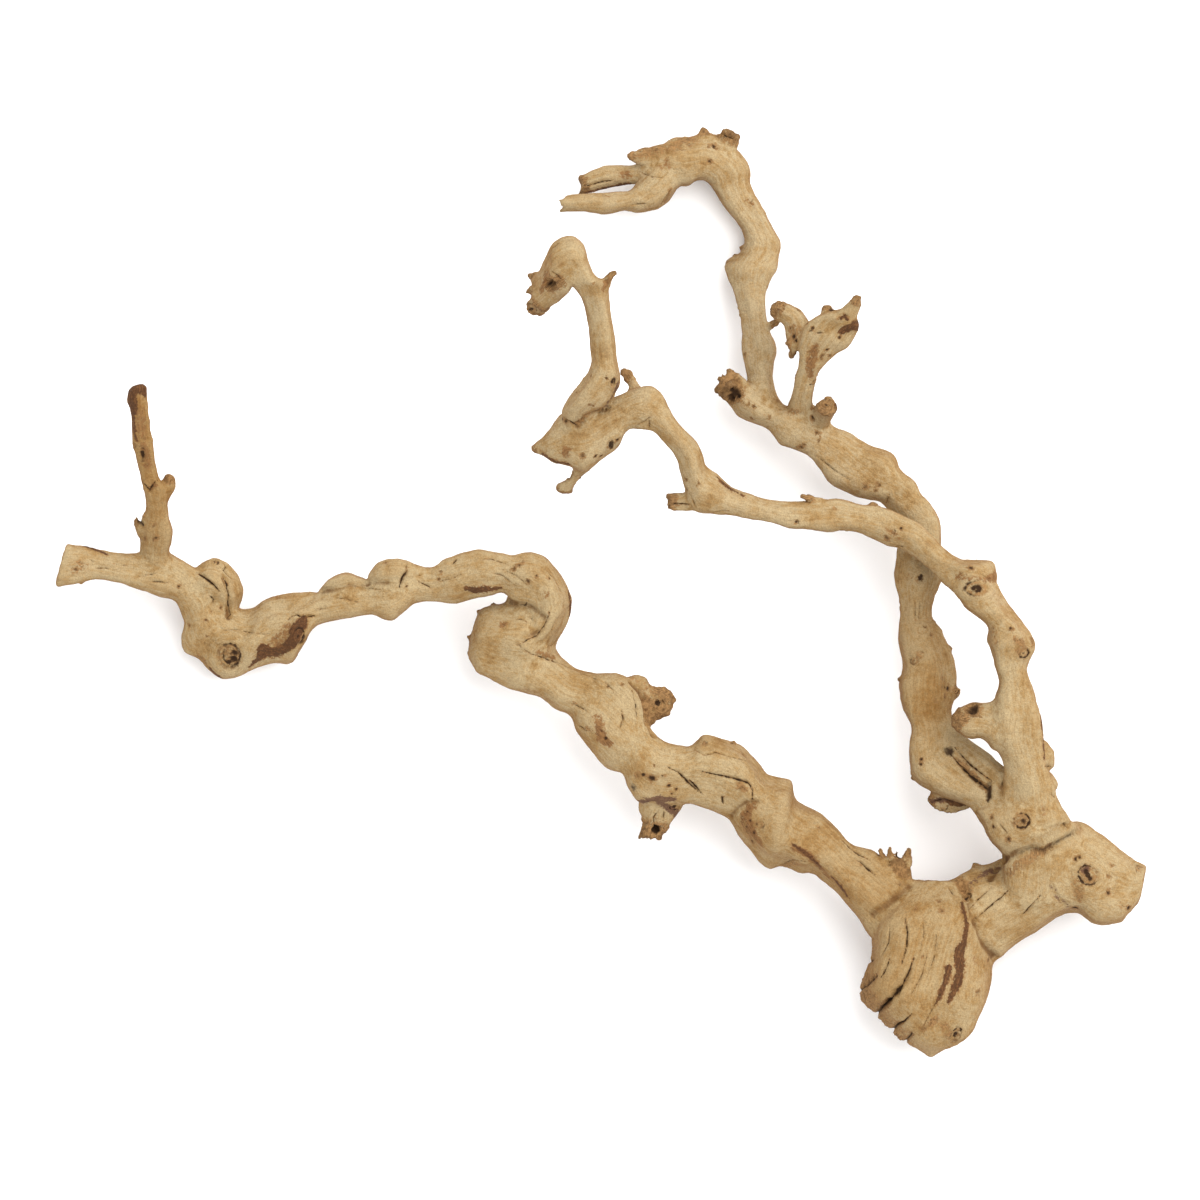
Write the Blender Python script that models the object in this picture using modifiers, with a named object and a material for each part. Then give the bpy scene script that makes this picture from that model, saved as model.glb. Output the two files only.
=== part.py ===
# Sandblasted grapewood: one old vine limb, grown as one piece and laid down.
# A thick heel with a short bar sends out a long snaking limb to the left and a stem
# that forks into two arms, which cross and grow together again. The limb rests on
# three low points: the heel, the swollen bend on the left and the far elbow.
#
# Plan: +X runs along the longest way, from the sawn arm to the bar, and +Z is up.

import math

import bmesh
import bpy
import numpy as np
from mathutils import Vector, noise
from mathutils.bvhtree import BVHTree

# Driving dimensions, in metres. The drawing's ground is where the feet are worn flat.
piece_length = 0.606          # sawn arm end to the end of the bar, as drawn below
wood_grid = 0.0013            # spacing at which the limbs are grown together
section_step = 0.0025         # spacing of the sections along a limb
section_sides = 24
triangle_budget = 11600
cut_tolerance = 1e-7          # metres, where the feet are cut level

# The drawing below is in units of one millimetre at the length above.
drawing_length = 606
unit = piece_length / drawing_length
shortest_span = 0.5           # units between two rows of a table, at least

# Surface of the wood
flute_depth = 0.075           # long ridges, as a share of the limb's radius
flute_twist = 0.011           # turn of the ridges in radians per unit of length
flutes = [                    # ridges round the limb, share of the depth and of the twist, start
    (3, 1.0, -1.0, 1.0),
    (5, 0.55, 0.7, 2.3),
    (2, 0.35, 0.4, 1.1),
]
limb_turn = 1.7               # start of the ridges, one limb to the next
tip_turn = 0.9                # and one broken tip to the next
gentle_slope = 0.60           # rise over run along a limb up to which its sections stand plumb
steep_slope = 0.85            # and from which they stand square to the limb
first_smoothing = 0.5         # share of the way to the neighbours' middle
fillet_rounds = 50            # how far the crotches between limbs fill up
fillet_rate = 0.55
ripple_height = 0.8 * unit
swell = 0.35 * unit           # makes up for what the smoothing takes off
ripple_size = 15 * unit
fade_power = 1.5              # how softly a hollow or fold runs out

# Ends of a limb
round_end_angles = (25, 48, 68, 84)             # degrees round the dome
broken_end_rings = [                            # size, share of the reach, depth, roughness
    (1.0, 1.0, 0.0, 3.2),
    (0.72, 0.6, 0.0, 1.2),
    (0.35, 1.0, 2.2, 0.5),
]
sawn_end_rings = [(0.96, 0.5), (0.5, 0.6)]      # size and how far it stands out
buried_end_size = 0.5
tear_sizes = [(2.9, 1.0), (1.1, 0.6)]           # size and share of the waves in a torn rim
tip_reach = 0.8                                 # rounding of a broken tip

wood_colour = (0.60, 0.41, 0.20)
wood_roughness = 0.85

# Each limb is a row of sections, read along the limb from its first end:
# left edge x, y, right edge x, y, height of the middle, and thickness over width.
# Left and right are as seen by someone walking along the limb.

arm_and_long_limb = [
    (-299.6, 27.6, -305.2, 4.2, 36, 0.92),
    (-291.0, 26.8, -292.5, 5.8, 36, 0.92),
    (-281.0, 24.0, -283.0, 8.0, 35, 0.95),
    (-270.0, 22.0, -270.0, 6.0, 34, 0.98),
    (-258.0, 22.5, -259.0, 2.5, 32, 0.95),
    (-244.0, 22.5, -249.0, -1.8, 30, 0.92),
    (-236.0, 18.0, -240.2, -3.8, 28, 0.95),
    (-228.2, 13.2, -236.2, -11.0, 25, 0.92),
    (-219.0, 6.0, -234.3, -18.0, 22, 0.90),
    (-212.0, -4.0, -235.9, -26.0, 18.4, 0.92),
    (-208.0, -8.0, -234.2, -33.0, 17, 0.90),
    (-204.0, -9.0, -226.5, -36.2, 16.2, 0.92),
    (-201.0, -9.2, -220.4, -43.2, 15.8, 0.88),
    (-198.5, -8.6, -213.5, -47.5, 16.0, 0.86),
    (-196.0, -9.4, -206.0, -46.4, 16.8, 0.86),
    (-190.0, -4.6, -196.0, -42.0, 20, 0.84),
    (-182.0, -1.5, -184.0, -38.5, 23, 0.84),
    (-174.5, -0.4, -174.6, -38.8, 26, 0.80),
    (-169.5, 0.0, -169.8, -31.0, 28.5, 0.88),
    (-165.0, 0.2, -165.0, -23.0, 30, 0.98),
    (-160.5, 0.5, -161.0, -18.0, 32, 1.02),
    (-150.0, 1.6, -150.0, -14.8, 35, 1.05),
    (-140.0, 4.0, -140.0, -13.0, 37, 1.05),
    (-130.0, 6.0, -130.0, -11.4, 39, 1.02),
    (-120.0, 10.0, -119.5, -15.2, 40, 0.95),
    (-112.0, 14.0, -112.0, -10.8, 41, 0.92),
    (-104.0, 15.1, -105.0, -5.2, 42, 1.00),
    (-96.0, 14.2, -96.0, -4.8, 43, 1.02),
    (-88.5, 18.6, -88.0, -5.5, 44, 0.95),
    (-84.0, 20.0, -83.5, -5.4, 45, 0.95),
    (-79.0, 22.1, -79.0, -4.8, 46, 0.92),
    (-70.0, 24.4, -70.0, -2.8, 49, 0.90),
    (-62.0, 22.8, -62.0, -1.2, 52, 0.92),
    (-56.6, 21.8, -56.6, 0.7, 53, 0.92),
    (-51.0, 20.9, -51.4, -3.6, 54, 0.90),
    (-42.0, 22.7, -43.0, -6.0, 55, 0.86),
    (-32.5, 20.0, -39.0, -8.0, 55, 0.84),
    (-23.8, 10.6, -38.5, -12.0, 54, 0.86),
    (-17.9, -3.0, -41.0, -17.0, 51, 0.84),
    (-19.9, -15.0, -47.0, -28.0, 47, 0.80),
    (-26.6, -27.4, -52.0, -38.0, 43, 0.80),
    (-27.0, -31.4, -46.0, -54.0, 41, 0.84),
    (-22.9, -36.8, -35.0, -57.6, 40, 0.95),
    (-14.0, -42.7, -26.6, -64.7, 41, 0.92),
    (-5.0, -44.8, -17.6, -68.6, 42, 0.92),
    (3.0, -44.8, -14.8, -77.5, 43, 0.86),
    (12.0, -46.4, -5.6, -89.2, 44, 0.80),
    (19.0, -54.0, 1.0, -97.0, 44, 0.82),
    (23.0, -65.0, 11.0, -101.0, 45, 0.92),
    (25.8, -75.0, 14.2, -108.6, 45, 0.98),
    (32.3, -82.2, 19.6, -116.4, 45, 0.92),
    (40.7, -84.8, 31.0, -118.5, 45, 0.92),
    (49.0, -85.1, 47.5, -117.0, 44, 0.92),
    (56.5, -79.3, 57.0, -120.0, 43, 0.82),
    (67.3, -82.0, 66.5, -123.6, 42, 0.80),
    (76.8, -85.4, 70.5, -126.6, 41, 0.80),
    (85.0, -92.2, 76.0, -135.3, 40, 0.80),
    (91.2, -100.8, 82.5, -143.2, 40, 0.80),
    (98.6, -103.4, 88.0, -151.0, 40, 0.76),
    (104.8, -105.0, 93.6, -153.8, 40, 0.78),
    (105.9, -110.5, 99.0, -152.3, 39, 0.80),
    (107.0, -115.0, 104.5, -153.4, 39, 0.84),
    (113.0, -119.2, 110.0, -156.4, 38, 0.86),
    (121.4, -123.6, 117.5, -156.6, 38, 0.92),
    (130.8, -131.9, 126.7, -163.2, 38, 0.95),
    (139.4, -140.8, 134.9, -171.2, 38, 0.98),
    (150.0, -144.2, 141.5, -180.0, 38, 0.92),
    (162.0, -152.0, 149.0, -191.0, 38, 0.86),
    (176.0, -162.0, 156.0, -200.0, 38, 0.80),
]

bend_lobe = [
    (-228.6, 12.6, -235.0, -4.0, 25, 0.95),
    (-222.0, 18.6, -226.0, -3.0, 26, 0.95),
    (-214.5, 19.2, -219.0, -5.0, 26, 0.92),
    (-206.5, 13.5, -217.0, -7.0, 25, 0.95),
    (-202.3, 4.0, -215.5, -8.0, 24, 1.00),
    (-202.2, -3.0, -214.5, -11.0, 22, 1.00),
    (-204.5, -8.0, -213.0, -14.0, 20, 1.00),
]

first_hump = [
    (-158.5, 2.4, -158.5, -3.0, 34, 0.9),
    (-154.0, 7.4, -154.0, -4.0, 35, 0.9),
    (-148.5, 10.2, -148.5, -5.0, 36, 0.9),
    (-142.5, 11.4, -142.5, -5.0, 37, 0.9),
    (-136.5, 9.3, -136.5, -4.0, 38, 0.9),
    (-132.5, 7.0, -132.5, -2.0, 39, 0.9),
]

second_hump = [
    (-131.0, 10.0, -131.0, -1.0, 41, 0.9),
    (-127.5, 15.6, -127.0, 0.0, 42, 0.9),
    (-121.5, 18.7, -120.0, 0.0, 44, 0.9),
    (-114.0, 18.9, -113.0, 0.0, 45, 0.9),
    (-107.5, 17.0, -107.0, 0.0, 45, 0.9),
    (-101.5, 14.8, -101.0, 1.0, 44, 0.9),
]

burl = [
    (-34.0, -58.0, -29.0, -12.0, 41, 0.78),
    (-46.0, -54.5, -42.0, -6.0, 40, 0.84),
    (-57.0, -50.6, -55.0, -6.0, 39, 0.88),
    (-65.0, -46.8, -63.4, -7.2, 38, 0.90),
    (-71.2, -43.4, -69.6, -10.6, 37, 0.90),
    (-74.6, -36.8, -73.2, -22.4, 36, 0.95),
]

side_spur = [
    (12.0, -48.6, 20.0, -78.0, 42, 0.62),
    (17.6, -45.8, 24.0, -75.0, 42, 0.62),
    (24.0, -47.6, 28.0, -73.0, 41, 0.62),
    (25.6, -51.0, 31.0, -71.0, 40, 0.62),
    (32.0, -52.4, 36.0, -68.2, 39, 0.60),
    (37.4, -53.8, 38.4, -65.0, 38, 0.60),
]

side_spur_nubs = [
    [(14.5, -50.0, 19.5, -50.0, 43, 0.8), (15.8, -47.4, 18.4, -47.4, 44, 0.9)],
    [(20.0, -51.0, 25.5, -51.0, 42, 0.8), (20.8, -48.6, 24.4, -48.8, 43, 0.9)],
    [(37.0, -57.0, 37.0, -61.5, 38, 0.8), (39.8, -58.2, 39.8, -60.6, 38, 0.8)],
]

hollow_stub = [
    (47.0, -114.0, 21.0, -112.0, 42, 0.70),
    (43.0, -120.0, 20.6, -120.0, 39, 0.72),
    (37.5, -128.5, 22.5, -127.5, 36, 0.86),
    (32.6, -135.2, 20.2, -135.4, 34, 0.95),
]

heel = [
    (229.0, -162.0, 168.0, -160.6, 38, 0.60),
    (230.0, -179.0, 157.0, -175.0, 37, 0.74),
    (226.0, -192.0, 151.0, -187.0, 36, 0.86),
    (218.5, -205.0, 150.3, -201.0, 35.2, 0.98),
    (217.0, -216.0, 146.6, -213.0, 35, 0.99),
    (215.6, -221.5, 144.2, -221.0, 35, 0.98),
    (213.8, -228.0, 145.6, -228.0, 35, 0.98),
    (210.0, -237.0, 152.8, -235.8, 34.5, 1.00),
    (204.6, -247.0, 163.6, -246.6, 35, 1.05),
    (197.2, -252.0, 170.6, -252.2, 36, 1.10),
    (190.2, -255.4, 176.4, -255.6, 36, 1.25),
    (185.4, -258.2, 180.8, -258.2, 36, 1.40),
]

bar = [
    (196.0, -160.0, 200.0, -212.0, 37, 0.78),
    (207.0, -154.0, 218.0, -206.0, 37, 0.72),
    (222.0, -148.9, 229.0, -197.0, 37, 0.72),
    (240.0, -141.5, 240.0, -190.0, 38, 0.74),
    (255.0, -131.5, 253.0, -181.5, 39, 0.76),
    (266.0, -127.2, 264.0, -178.3, 40, 0.76),
    (278.0, -134.3, 275.4, -184.6, 40, 0.76),
    (290.2, -145.0, 288.0, -184.2, 40, 0.84),
    (298.0, -150.4, 292.6, -180.4, 40, 0.90),
    (302.6, -152.6, 298.6, -173.4, 40, 0.95),
]

stem = [
    (224.0, -176.0, 264.0, -170.0, 42, 0.80),
    (223.5, -158.0, 268.0, -146.0, 48, 0.76),
    (223.0, -145.5, 265.0, -129.5, 53, 0.78),
    (216.6, -138.0, 260.2, -127.0, 57, 0.80),
    (212.0, -128.0, 256.4, -120.0, 60, 0.80),
    (208.0, -121.5, 253.6, -114.0, 62, 0.78),
]

inner_arm = [
    (214.0, -132.0, 250.0, -122.0, 57, 0.84),
    (205.5, -120.5, 232.0, -110.0, 54, 0.90),
    (197.5, -116.6, 218.0, -102.0, 51, 1.00),
    (183.0, -110.5, 207.0, -93.0, 47, 0.92),
    (172.8, -103.5, 199.5, -84.0, 44, 0.88),
    (171.0, -92.0, 199.0, -78.0, 42, 0.88),
    (171.3, -83.0, 197.5, -75.5, 41, 0.90),
    (172.6, -76.0, 194.8, -70.0, 40, 1.00),
    (168.6, -67.0, 194.6, -64.0, 40, 0.94),
    (166.4, -58.0, 197.4, -57.0, 40, 0.90),
    (165.4, -49.5, 197.4, -49.0, 40, 0.90),
    (167.4, -42.0, 197.0, -41.0, 40, 0.90),
    (166.8, -35.0, 195.0, -34.0, 39, 0.92),
    (165.4, -27.0, 191.0, -26.5, 38, 0.94),
    (165.6, -19.0, 188.2, -20.6, 38, 1.00),
    (166.0, -11.0, 183.0, -12.5, 37, 1.10),
    (165.6, -3.0, 184.6, -3.5, 37, 1.08),
    (163.6, 5.0, 188.0, 4.5, 37, 0.98),
    (163.0, 12.0, 190.0, 11.0, 37, 0.96),
    (164.0, 20.0, 189.0, 20.0, 36, 0.98),
    (164.5, 30.0, 188.4, 30.0, 36, 1.00),
    (163.0, 40.0, 188.0, 40.0, 36, 1.00),
    (158.5, 47.0, 184.2, 47.4, 36, 1.00),
    (156.4, 49.8, 182.0, 51.0, 36, 1.00),
    (154.0, 51.2, 177.4, 55.4, 36, 1.00),
    (148.0, 52.5, 174.5, 62.0, 35, 0.96),
    (140.0, 54.7, 166.5, 68.5, 34, 0.92),
    (132.0, 58.8, 162.0, 77.0, 33, 0.88),
    (125.9, 62.9, 153.5, 81.2, 32, 0.88),
    (120.8, 70.6, 144.0, 85.6, 31, 0.92),
    (113.5, 77.6, 136.0, 90.2, 31, 0.94),
    (106.0, 80.6, 128.0, 94.0, 31, 0.98),
    (98.9, 83.0, 120.5, 103.0, 31, 0.92),
    (93.0, 91.3, 111.0, 106.0, 31, 1.05),
    (83.5, 95.2, 103.0, 104.0, 31, 1.10),
    (75.2, 99.4, 90.0, 113.0, 31, 1.10),
    (70.4, 105.4, 79.0, 118.4, 34, 1.05),
    (67.6, 108.8, 76.6, 121.0, 36, 1.00),
    (66.0, 110.4, 74.4, 121.8, 37, 1.00),
]

broken_fins = [
    [(72.0, 112.0, 80.6, 118.4, 37, 0.6), (69.4, 117.0, 76.6, 121.4, 38, 0.6),
     (68.4, 121.6, 73.6, 124.4, 39, 0.6), (68.6, 124.4, 71.2, 125.6, 39, 0.7)],
    [(70.0, 114.5, 74.0, 118.0, 37, 0.7), (67.4, 119.4, 69.6, 120.8, 38, 0.8),
     (66.0, 121.8, 67.2, 122.6, 38.5, 0.9)],
    [(71.0, 109.8, 73.5, 117.5, 36, 0.9), (66.0, 111.0, 69.5, 118.6, 37, 0.95),
     (62.9, 112.6, 65.4, 118.6, 37.5, 0.95)],
    [(66.5, 116.0, 69.0, 118.5, 37, 0.8), (64.0, 119.4, 66.4, 120.8, 37, 0.8)],
]

far_arm = [
    (77.0, 103.0, 101.0, 103.0, 29, 0.90),
    (80.0, 112.0, 97.0, 111.0, 27, 1.00),
    (81.3, 120.0, 95.2, 120.0, 25, 1.10),
    (79.2, 129.0, 95.3, 129.0, 23, 1.10),
    (77.5, 137.0, 96.2, 138.0, 21.5, 1.05),
    (77.5, 147.0, 92.5, 146.5, 20.5, 1.15),
    (76.2, 157.0, 90.5, 157.0, 19.5, 1.15),
    (73.8, 167.0, 90.2, 167.0, 18.5, 1.08),
    (70.3, 176.0, 93.0, 175.0, 17, 0.96),
    (68.2, 183.0, 96.8, 181.0, 14.8, 0.92),
    (75.4, 188.2, 98.2, 188.0, 12.8, 1.02),
    (79.6, 195.5, 99.3, 195.6, 11, 1.15),
    (78.0, 202.0, 95.4, 203.0, 9.8, 1.20),
    (73.0, 210.0, 91.3, 211.5, 9.4, 1.15),
    (66.0, 219.5, 86.4, 220.5, 10.2, 1.05),
    (61.5, 227.0, 82.2, 230.0, 11.8, 1.00),
    (58.0, 231.6, 81.4, 238.3, 13.6, 0.92),
    (51.5, 232.0, 73.4, 249.2, 16, 0.86),
    (48.0, 228.6, 62.0, 256.4, 18, 0.84),
    (43.0, 228.2, 49.0, 255.2, 20, 0.84),
    (38.8, 229.6, 38.6, 254.4, 21, 0.80),
    (36.0, 230.0, 30.0, 248.6, 22, 0.74),
]

lower_prong = [
    (42.0, 230.0, 42.0, 250.0, 21, 0.80),
    (37.4, 221.0, 33.0, 246.0, 23, 0.76),
    (30.6, 215.0, 27.0, 240.0, 25, 0.80),
    (20.0, 213.0, 19.0, 230.0, 27, 0.95),
    (12.0, 214.3, 14.0, 225.0, 29, 1.10),
    (1.5, 212.3, 2.0, 224.0, 31, 1.05),
    (-9.0, 213.4, -9.5, 223.2, 33, 1.10),
    (-22.8, 213.2, -20.8, 222.0, 34, 1.10),
]

upper_prong = [
    (40.0, 234.0, 40.0, 252.0, 21, 0.80),
    (27.0, 231.5, 27.0, 247.0, 20, 0.90),
    (18.0, 229.0, 18.0, 239.4, 18, 1.05),
    (9.0, 228.7, 9.0, 238.8, 17, 1.05),
    (-0.6, 226.1, 0.0, 238.7, 16, 0.95),
    (-12.0, 223.0, -11.8, 233.6, 15, 1.00),
]

prong_flake = [
    (36.0, 238.0, 36.0, 252.0, 24, 0.60),
    (26.5, 239.6, 27.0, 250.4, 25, 0.60),
    (19.0, 240.2, 19.6, 247.8, 26, 0.60),
    (14.0, 243.4, 14.2, 246.4, 27, 0.80),
]

far_nub = [
    (52.0, 250.0, 61.0, 250.0, 19, 0.8),
    (53.2, 256.5, 59.6, 257.2, 19, 0.8),
    (55.0, 259.6, 57.2, 259.6, 19, 0.9),
]

far_knob = [
    (59.0, 247.0, 74.0, 243.0, 17, 0.70),
    (64.0, 255.0, 74.6, 249.0, 18, 0.80),
    (67.0, 259.2, 75.8, 254.0, 19, 0.95),
]

spur_arm = [
    (102.0, 99.0, 119.0, 98.0, 35, 0.80),
    (104.0, 106.5, 117.0, 106.0, 42, 0.90),
    (106.0, 113.5, 117.2, 113.0, 48, 0.95),
    (107.6, 121.0, 119.3, 120.5, 52, 1.00),
    (109.4, 129.0, 123.1, 127.6, 56, 0.95),
    (110.0, 138.0, 129.9, 133.4, 59, 0.82),
    (112.0, 148.5, 136.0, 137.2, 62, 0.72),
    (119.0, 154.2, 140.6, 144.6, 65, 0.72),
    (127.0, 156.8, 142.2, 149.5, 69, 0.80),
    (132.6, 158.4, 141.3, 155.0, 73, 0.95),
    (137.4, 162.6, 143.2, 160.0, 77, 1.00),
    (141.2, 165.8, 143.6, 164.4, 80, 1.00),
]

spur_side_arm = [
    (105.0, 134.0, 118.0, 143.0, 55, 0.80),
    (102.4, 142.0, 114.6, 152.0, 54, 0.85),
    (100.8, 149.8, 110.0, 158.4, 53, 0.95),
    (95.6, 152.8, 103.8, 161.6, 52, 0.95),
    (92.8, 157.0, 98.6, 163.4, 51, 0.95),
]

spur_nub = [
    (121.0, 150.0, 129.5, 150.0, 64, 0.8),
    (121.8, 157.0, 129.2, 156.4, 64, 0.9),
    (122.6, 160.0, 127.4, 159.8, 64, 0.9),
]

stump = [
    (117.0, 100.0, 124.0, 92.0, 36, 1.20),
    (119.5, 105.2, 126.6, 97.2, 46, 1.10),
    (121.6, 107.4, 128.8, 101.2, 56, 1.00),
]

outer_arm = [
    (222.0, -136.0, 260.4, -127.0, 58, 0.78),
    (222.0, -118.0, 254.4, -117.0, 64, 0.84),
    (223.5, -106.0, 252.0, -108.0, 68, 0.86),
    (224.2, -96.5, 247.5, -97.0, 71, 0.95),
    (220.5, -89.0, 245.3, -87.0, 73, 0.95),
    (216.5, -80.0, 245.0, -78.0, 75, 0.90),
    (217.5, -69.0, 244.5, -70.0, 76, 0.92),
    (218.6, -59.0, 241.2, -59.0, 77, 0.98),
    (220.8, -49.5, 238.0, -50.0, 79, 1.08),
    (218.6, -41.0, 236.4, -42.5, 81, 1.08),
    (217.0, -33.0, 238.0, -37.0, 82, 0.98),
    (214.6, -26.0, 240.8, -30.0, 83, 0.90),
    (215.0, -19.5, 239.6, -24.0, 83, 0.92),
    (210.0, -13.8, 235.0, -17.0, 82, 0.90),
    (203.0, -8.3, 229.8, -10.4, 80, 0.90),
    (198.8, -2.5, 223.7, -2.5, 78, 0.92),
    (194.5, 1.8, 219.6, 5.2, 75, 0.94),
    (190.0, 5.8, 218.9, 11.0, 72, 0.86),
    (187.0, 9.0, 216.8, 17.0, 70, 0.86),
    (183.8, 12.2, 207.0, 17.9, 68, 0.90),
    (180.6, 14.8, 198.4, 19.6, 66, 0.98),
    (175.0, 19.5, 189.0, 26.0, 63, 1.25),
    (166.0, 25.3, 178.0, 37.5, 61, 1.15),
    (158.0, 27.0, 167.0, 43.5, 60, 1.05),
    (150.0, 31.0, 157.0, 47.4, 60, 1.05),
    (142.0, 34.6, 148.5, 48.6, 61, 1.08),
    (133.0, 35.4, 138.5, 51.0, 62, 1.02),
    (125.0, 34.6, 129.0, 52.8, 63, 0.96),
    (115.0, 35.9, 118.5, 51.0, 65, 1.06),
    (104.5, 35.7, 105.0, 50.8, 67, 1.08),
    (93.0, 39.7, 92.0, 52.4, 69, 1.15),
    (80.0, 42.2, 80.5, 55.4, 71, 1.12),
    (70.0, 43.6, 72.0, 58.8, 73, 1.06),
    (60.0, 44.5, 64.5, 65.6, 75, 0.92),
    (50.5, 46.4, 58.0, 70.2, 77, 0.86),
    (46.2, 58.0, 56.2, 74.5, 79, 0.95),
    (44.2, 67.0, 54.3, 79.6, 82, 1.05),
    (41.2, 75.0, 51.5, 84.5, 85, 1.10),
    (36.8, 80.6, 46.8, 89.6, 87, 1.10),
    (32.5, 85.6, 41.8, 94.8, 89, 1.10),
    (28.0, 90.3, 36.6, 103.0, 90, 1.02),
    (21.5, 91.4, 31.8, 111.4, 90, 0.90),
    (14.0, 91.4, 25.6, 115.4, 89.5, 0.82),
    (8.6, 88.4, 15.0, 114.8, 88, 0.80),
    (8.0, 81.4, 7.5, 110.0, 86, 0.80),
    (-1.0, 74.4, -3.0, 104.0, 83, 0.80),
    (-11.0, 68.0, -12.5, 103.0, 80, 0.76),
    (-19.0, 71.2, -23.5, 99.8, 77, 0.80),
    (-28.0, 73.4, -30.0, 91.4, 74, 0.95),
    (-34.0, 77.2, -36.0, 84.8, 71, 1.05),
    (-38.6, 79.0, -39.2, 82.6, 69, 1.05),
]

drooping_twig = [
    (-4.0, 72.0, -18.0, 76.0, 77, 0.70),
    (-8.0, 68.8, -17.2, 70.0, 72, 0.85),
    (-12.2, 65.2, -18.4, 66.8, 68, 1.10),
    (-15.4, 61.4, -21.4, 62.8, 65, 1.10),
    (-16.8, 59.2, -25.4, 61.0, 63, 0.90),
    (-17.6, 57.2, -26.4, 58.8, 61, 0.90),
]

hook_arm = [
    (-19.0, 89.0, -9.0, 89.0, 84, 0.70),
    (-21.6, 95.6, -10.5, 95.0, 89, 0.80),
    (-22.9, 101.8, -5.5, 100.6, 94, 0.84),
    (-19.9, 108.8, 3.0, 105.0, 98, 0.84),
    (-14.3, 116.0, 7.0, 112.0, 102, 0.86),
    (-9.0, 122.0, 8.9, 119.5, 105, 0.92),
    (-6.4, 128.5, 7.5, 127.5, 107, 1.04),
    (-7.2, 137.0, 6.7, 136.5, 109, 1.04),
    (-8.3, 147.0, 5.6, 147.0, 112, 1.04),
    (-10.3, 158.0, 3.9, 157.5, 115, 1.04),
    (-12.8, 165.5, 2.7, 166.0, 118, 1.00),
    (-15.6, 170.2, 1.6, 173.5, 121, 0.96),
    (-16.6, 172.2, -4.6, 176.2, 123, 1.25),
    (-17.4, 172.0, -8.6, 185.4, 124, 1.05),
    (-18.0, 171.2, -11.2, 194.0, 123, 0.86),
    (-18.6, 170.4, -18.2, 198.6, 121, 0.80),
    (-19.8, 167.4, -27.2, 195.4, 117, 0.80),
    (-22.4, 164.2, -31.0, 187.6, 111, 0.84),
    (-27.4, 161.2, -34.2, 179.6, 104, 0.90),
    (-32.6, 157.4, -38.0, 176.0, 97, 0.86),
]

hook_tooth_upper = [
    (-30.0, 171.0, -31.0, 182.0, 101, 0.80),
    (-36.5, 173.5, -37.4, 179.6, 97, 0.80),
    (-40.8, 175.2, -41.8, 178.8, 94, 0.80),
]

hook_tooth_middle = [
    (-30.0, 166.0, -30.0, 176.0, 98, 0.80),
    (-37.0, 166.6, -37.0, 173.6, 93, 0.80),
    (-42.8, 167.0, -42.0, 170.0, 89, 0.80),
]

hook_tooth_lower = [
    (-28.0, 162.0, -32.0, 170.0, 98, 0.80),
    (-31.5, 157.8, -39.6, 165.4, 91, 0.85),
    (-34.8, 155.6, -42.2, 162.2, 84, 0.85),
]

hook_thorn = [
    (-4.5, 172.0, 2.5, 168.0, 120, 0.70),
    (0.2, 175.4, 4.2, 172.4, 124, 0.80),
    (2.4, 177.6, 5.2, 175.9, 127, 0.90),
    (5.0, 179.8, 6.6, 178.6, 129, 0.90),
]

arm_thorn = [
    (13.0, 112.0, 21.0, 112.0, 87, 0.50),
    (14.2, 115.4, 19.8, 116.6, 85, 0.75),
    (11.4, 119.0, 17.2, 120.8, 84, 0.75),
    (8.8, 123.6, 13.6, 124.8, 83, 0.75),
]

fork_stub = [
    (58.0, 46.0, 62.0, 58.0, 76, 0.70),
    (50.0, 46.4, 50.0, 56.4, 76, 0.75),
    (43.0, 46.6, 43.0, 55.6, 76, 0.75),
    (37.8, 46.8, 36.8, 55.4, 76, 0.75),
]

splinter = [
    (124.0, 48.4, 125.0, 52.6, 66, 0.60),
    (118.0, 50.0, 118.6, 54.0, 68, 0.55),
    (113.0, 52.0, 113.4, 54.8, 69, 0.60),
    (110.6, 53.6, 110.8, 55.2, 70, 0.80),
]

arm_stub = [
    (232.0, -88.0, 232.0, -60.0, 74, 0.70),
    (219.0, -88.0, 220.0, -60.0, 74, 0.78),
    (212.5, -81.4, 213.0, -61.2, 74, 0.90),
    (205.0, -80.9, 206.0, -61.2, 73, 0.90),
    (200.4, -79.0, 199.2, -64.0, 72, 0.95),
    (196.0, -75.2, 195.8, -67.4, 71, 0.95),
]

grafted_branch = [
    (196.0, -71.0, 186.0, -80.0, 44, 0.80),
    (200.6, -79.2, 193.6, -86.0, 47, 0.90),
    (207.0, -83.8, 200.6, -92.6, 50, 1.00),
    (214.0, -88.8, 208.0, -97.6, 54, 1.00),
    (221.0, -94.8, 214.5, -103.0, 58, 0.95),
    (228.0, -99.0, 219.5, -110.0, 61, 0.85),
]

flap_stub = [
    (205.0, -120.0, 196.0, -104.0, 44, 0.50),
    (196.0, -122.6, 190.0, -108.0, 43, 0.50),
    (186.0, -120.4, 184.0, -110.0, 42, 0.50),
    (182.4, -117.0, 182.0, -113.0, 41, 0.60),
]

outer_lump = [
    (240.0, -82.5, 238.0, -102.0, 70, 0.80),
    (246.8, -82.8, 246.4, -99.4, 69, 0.80),
    (251.0, -87.2, 250.6, -98.0, 68, 0.85),
]

lower_lump = [
    (244.0, -98.0, 243.0, -114.0, 65, 0.80),
    (249.6, -100.4, 250.0, -112.0, 64, 0.80),
    (252.6, -104.5, 252.4, -109.5, 64, 0.85),
]

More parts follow.
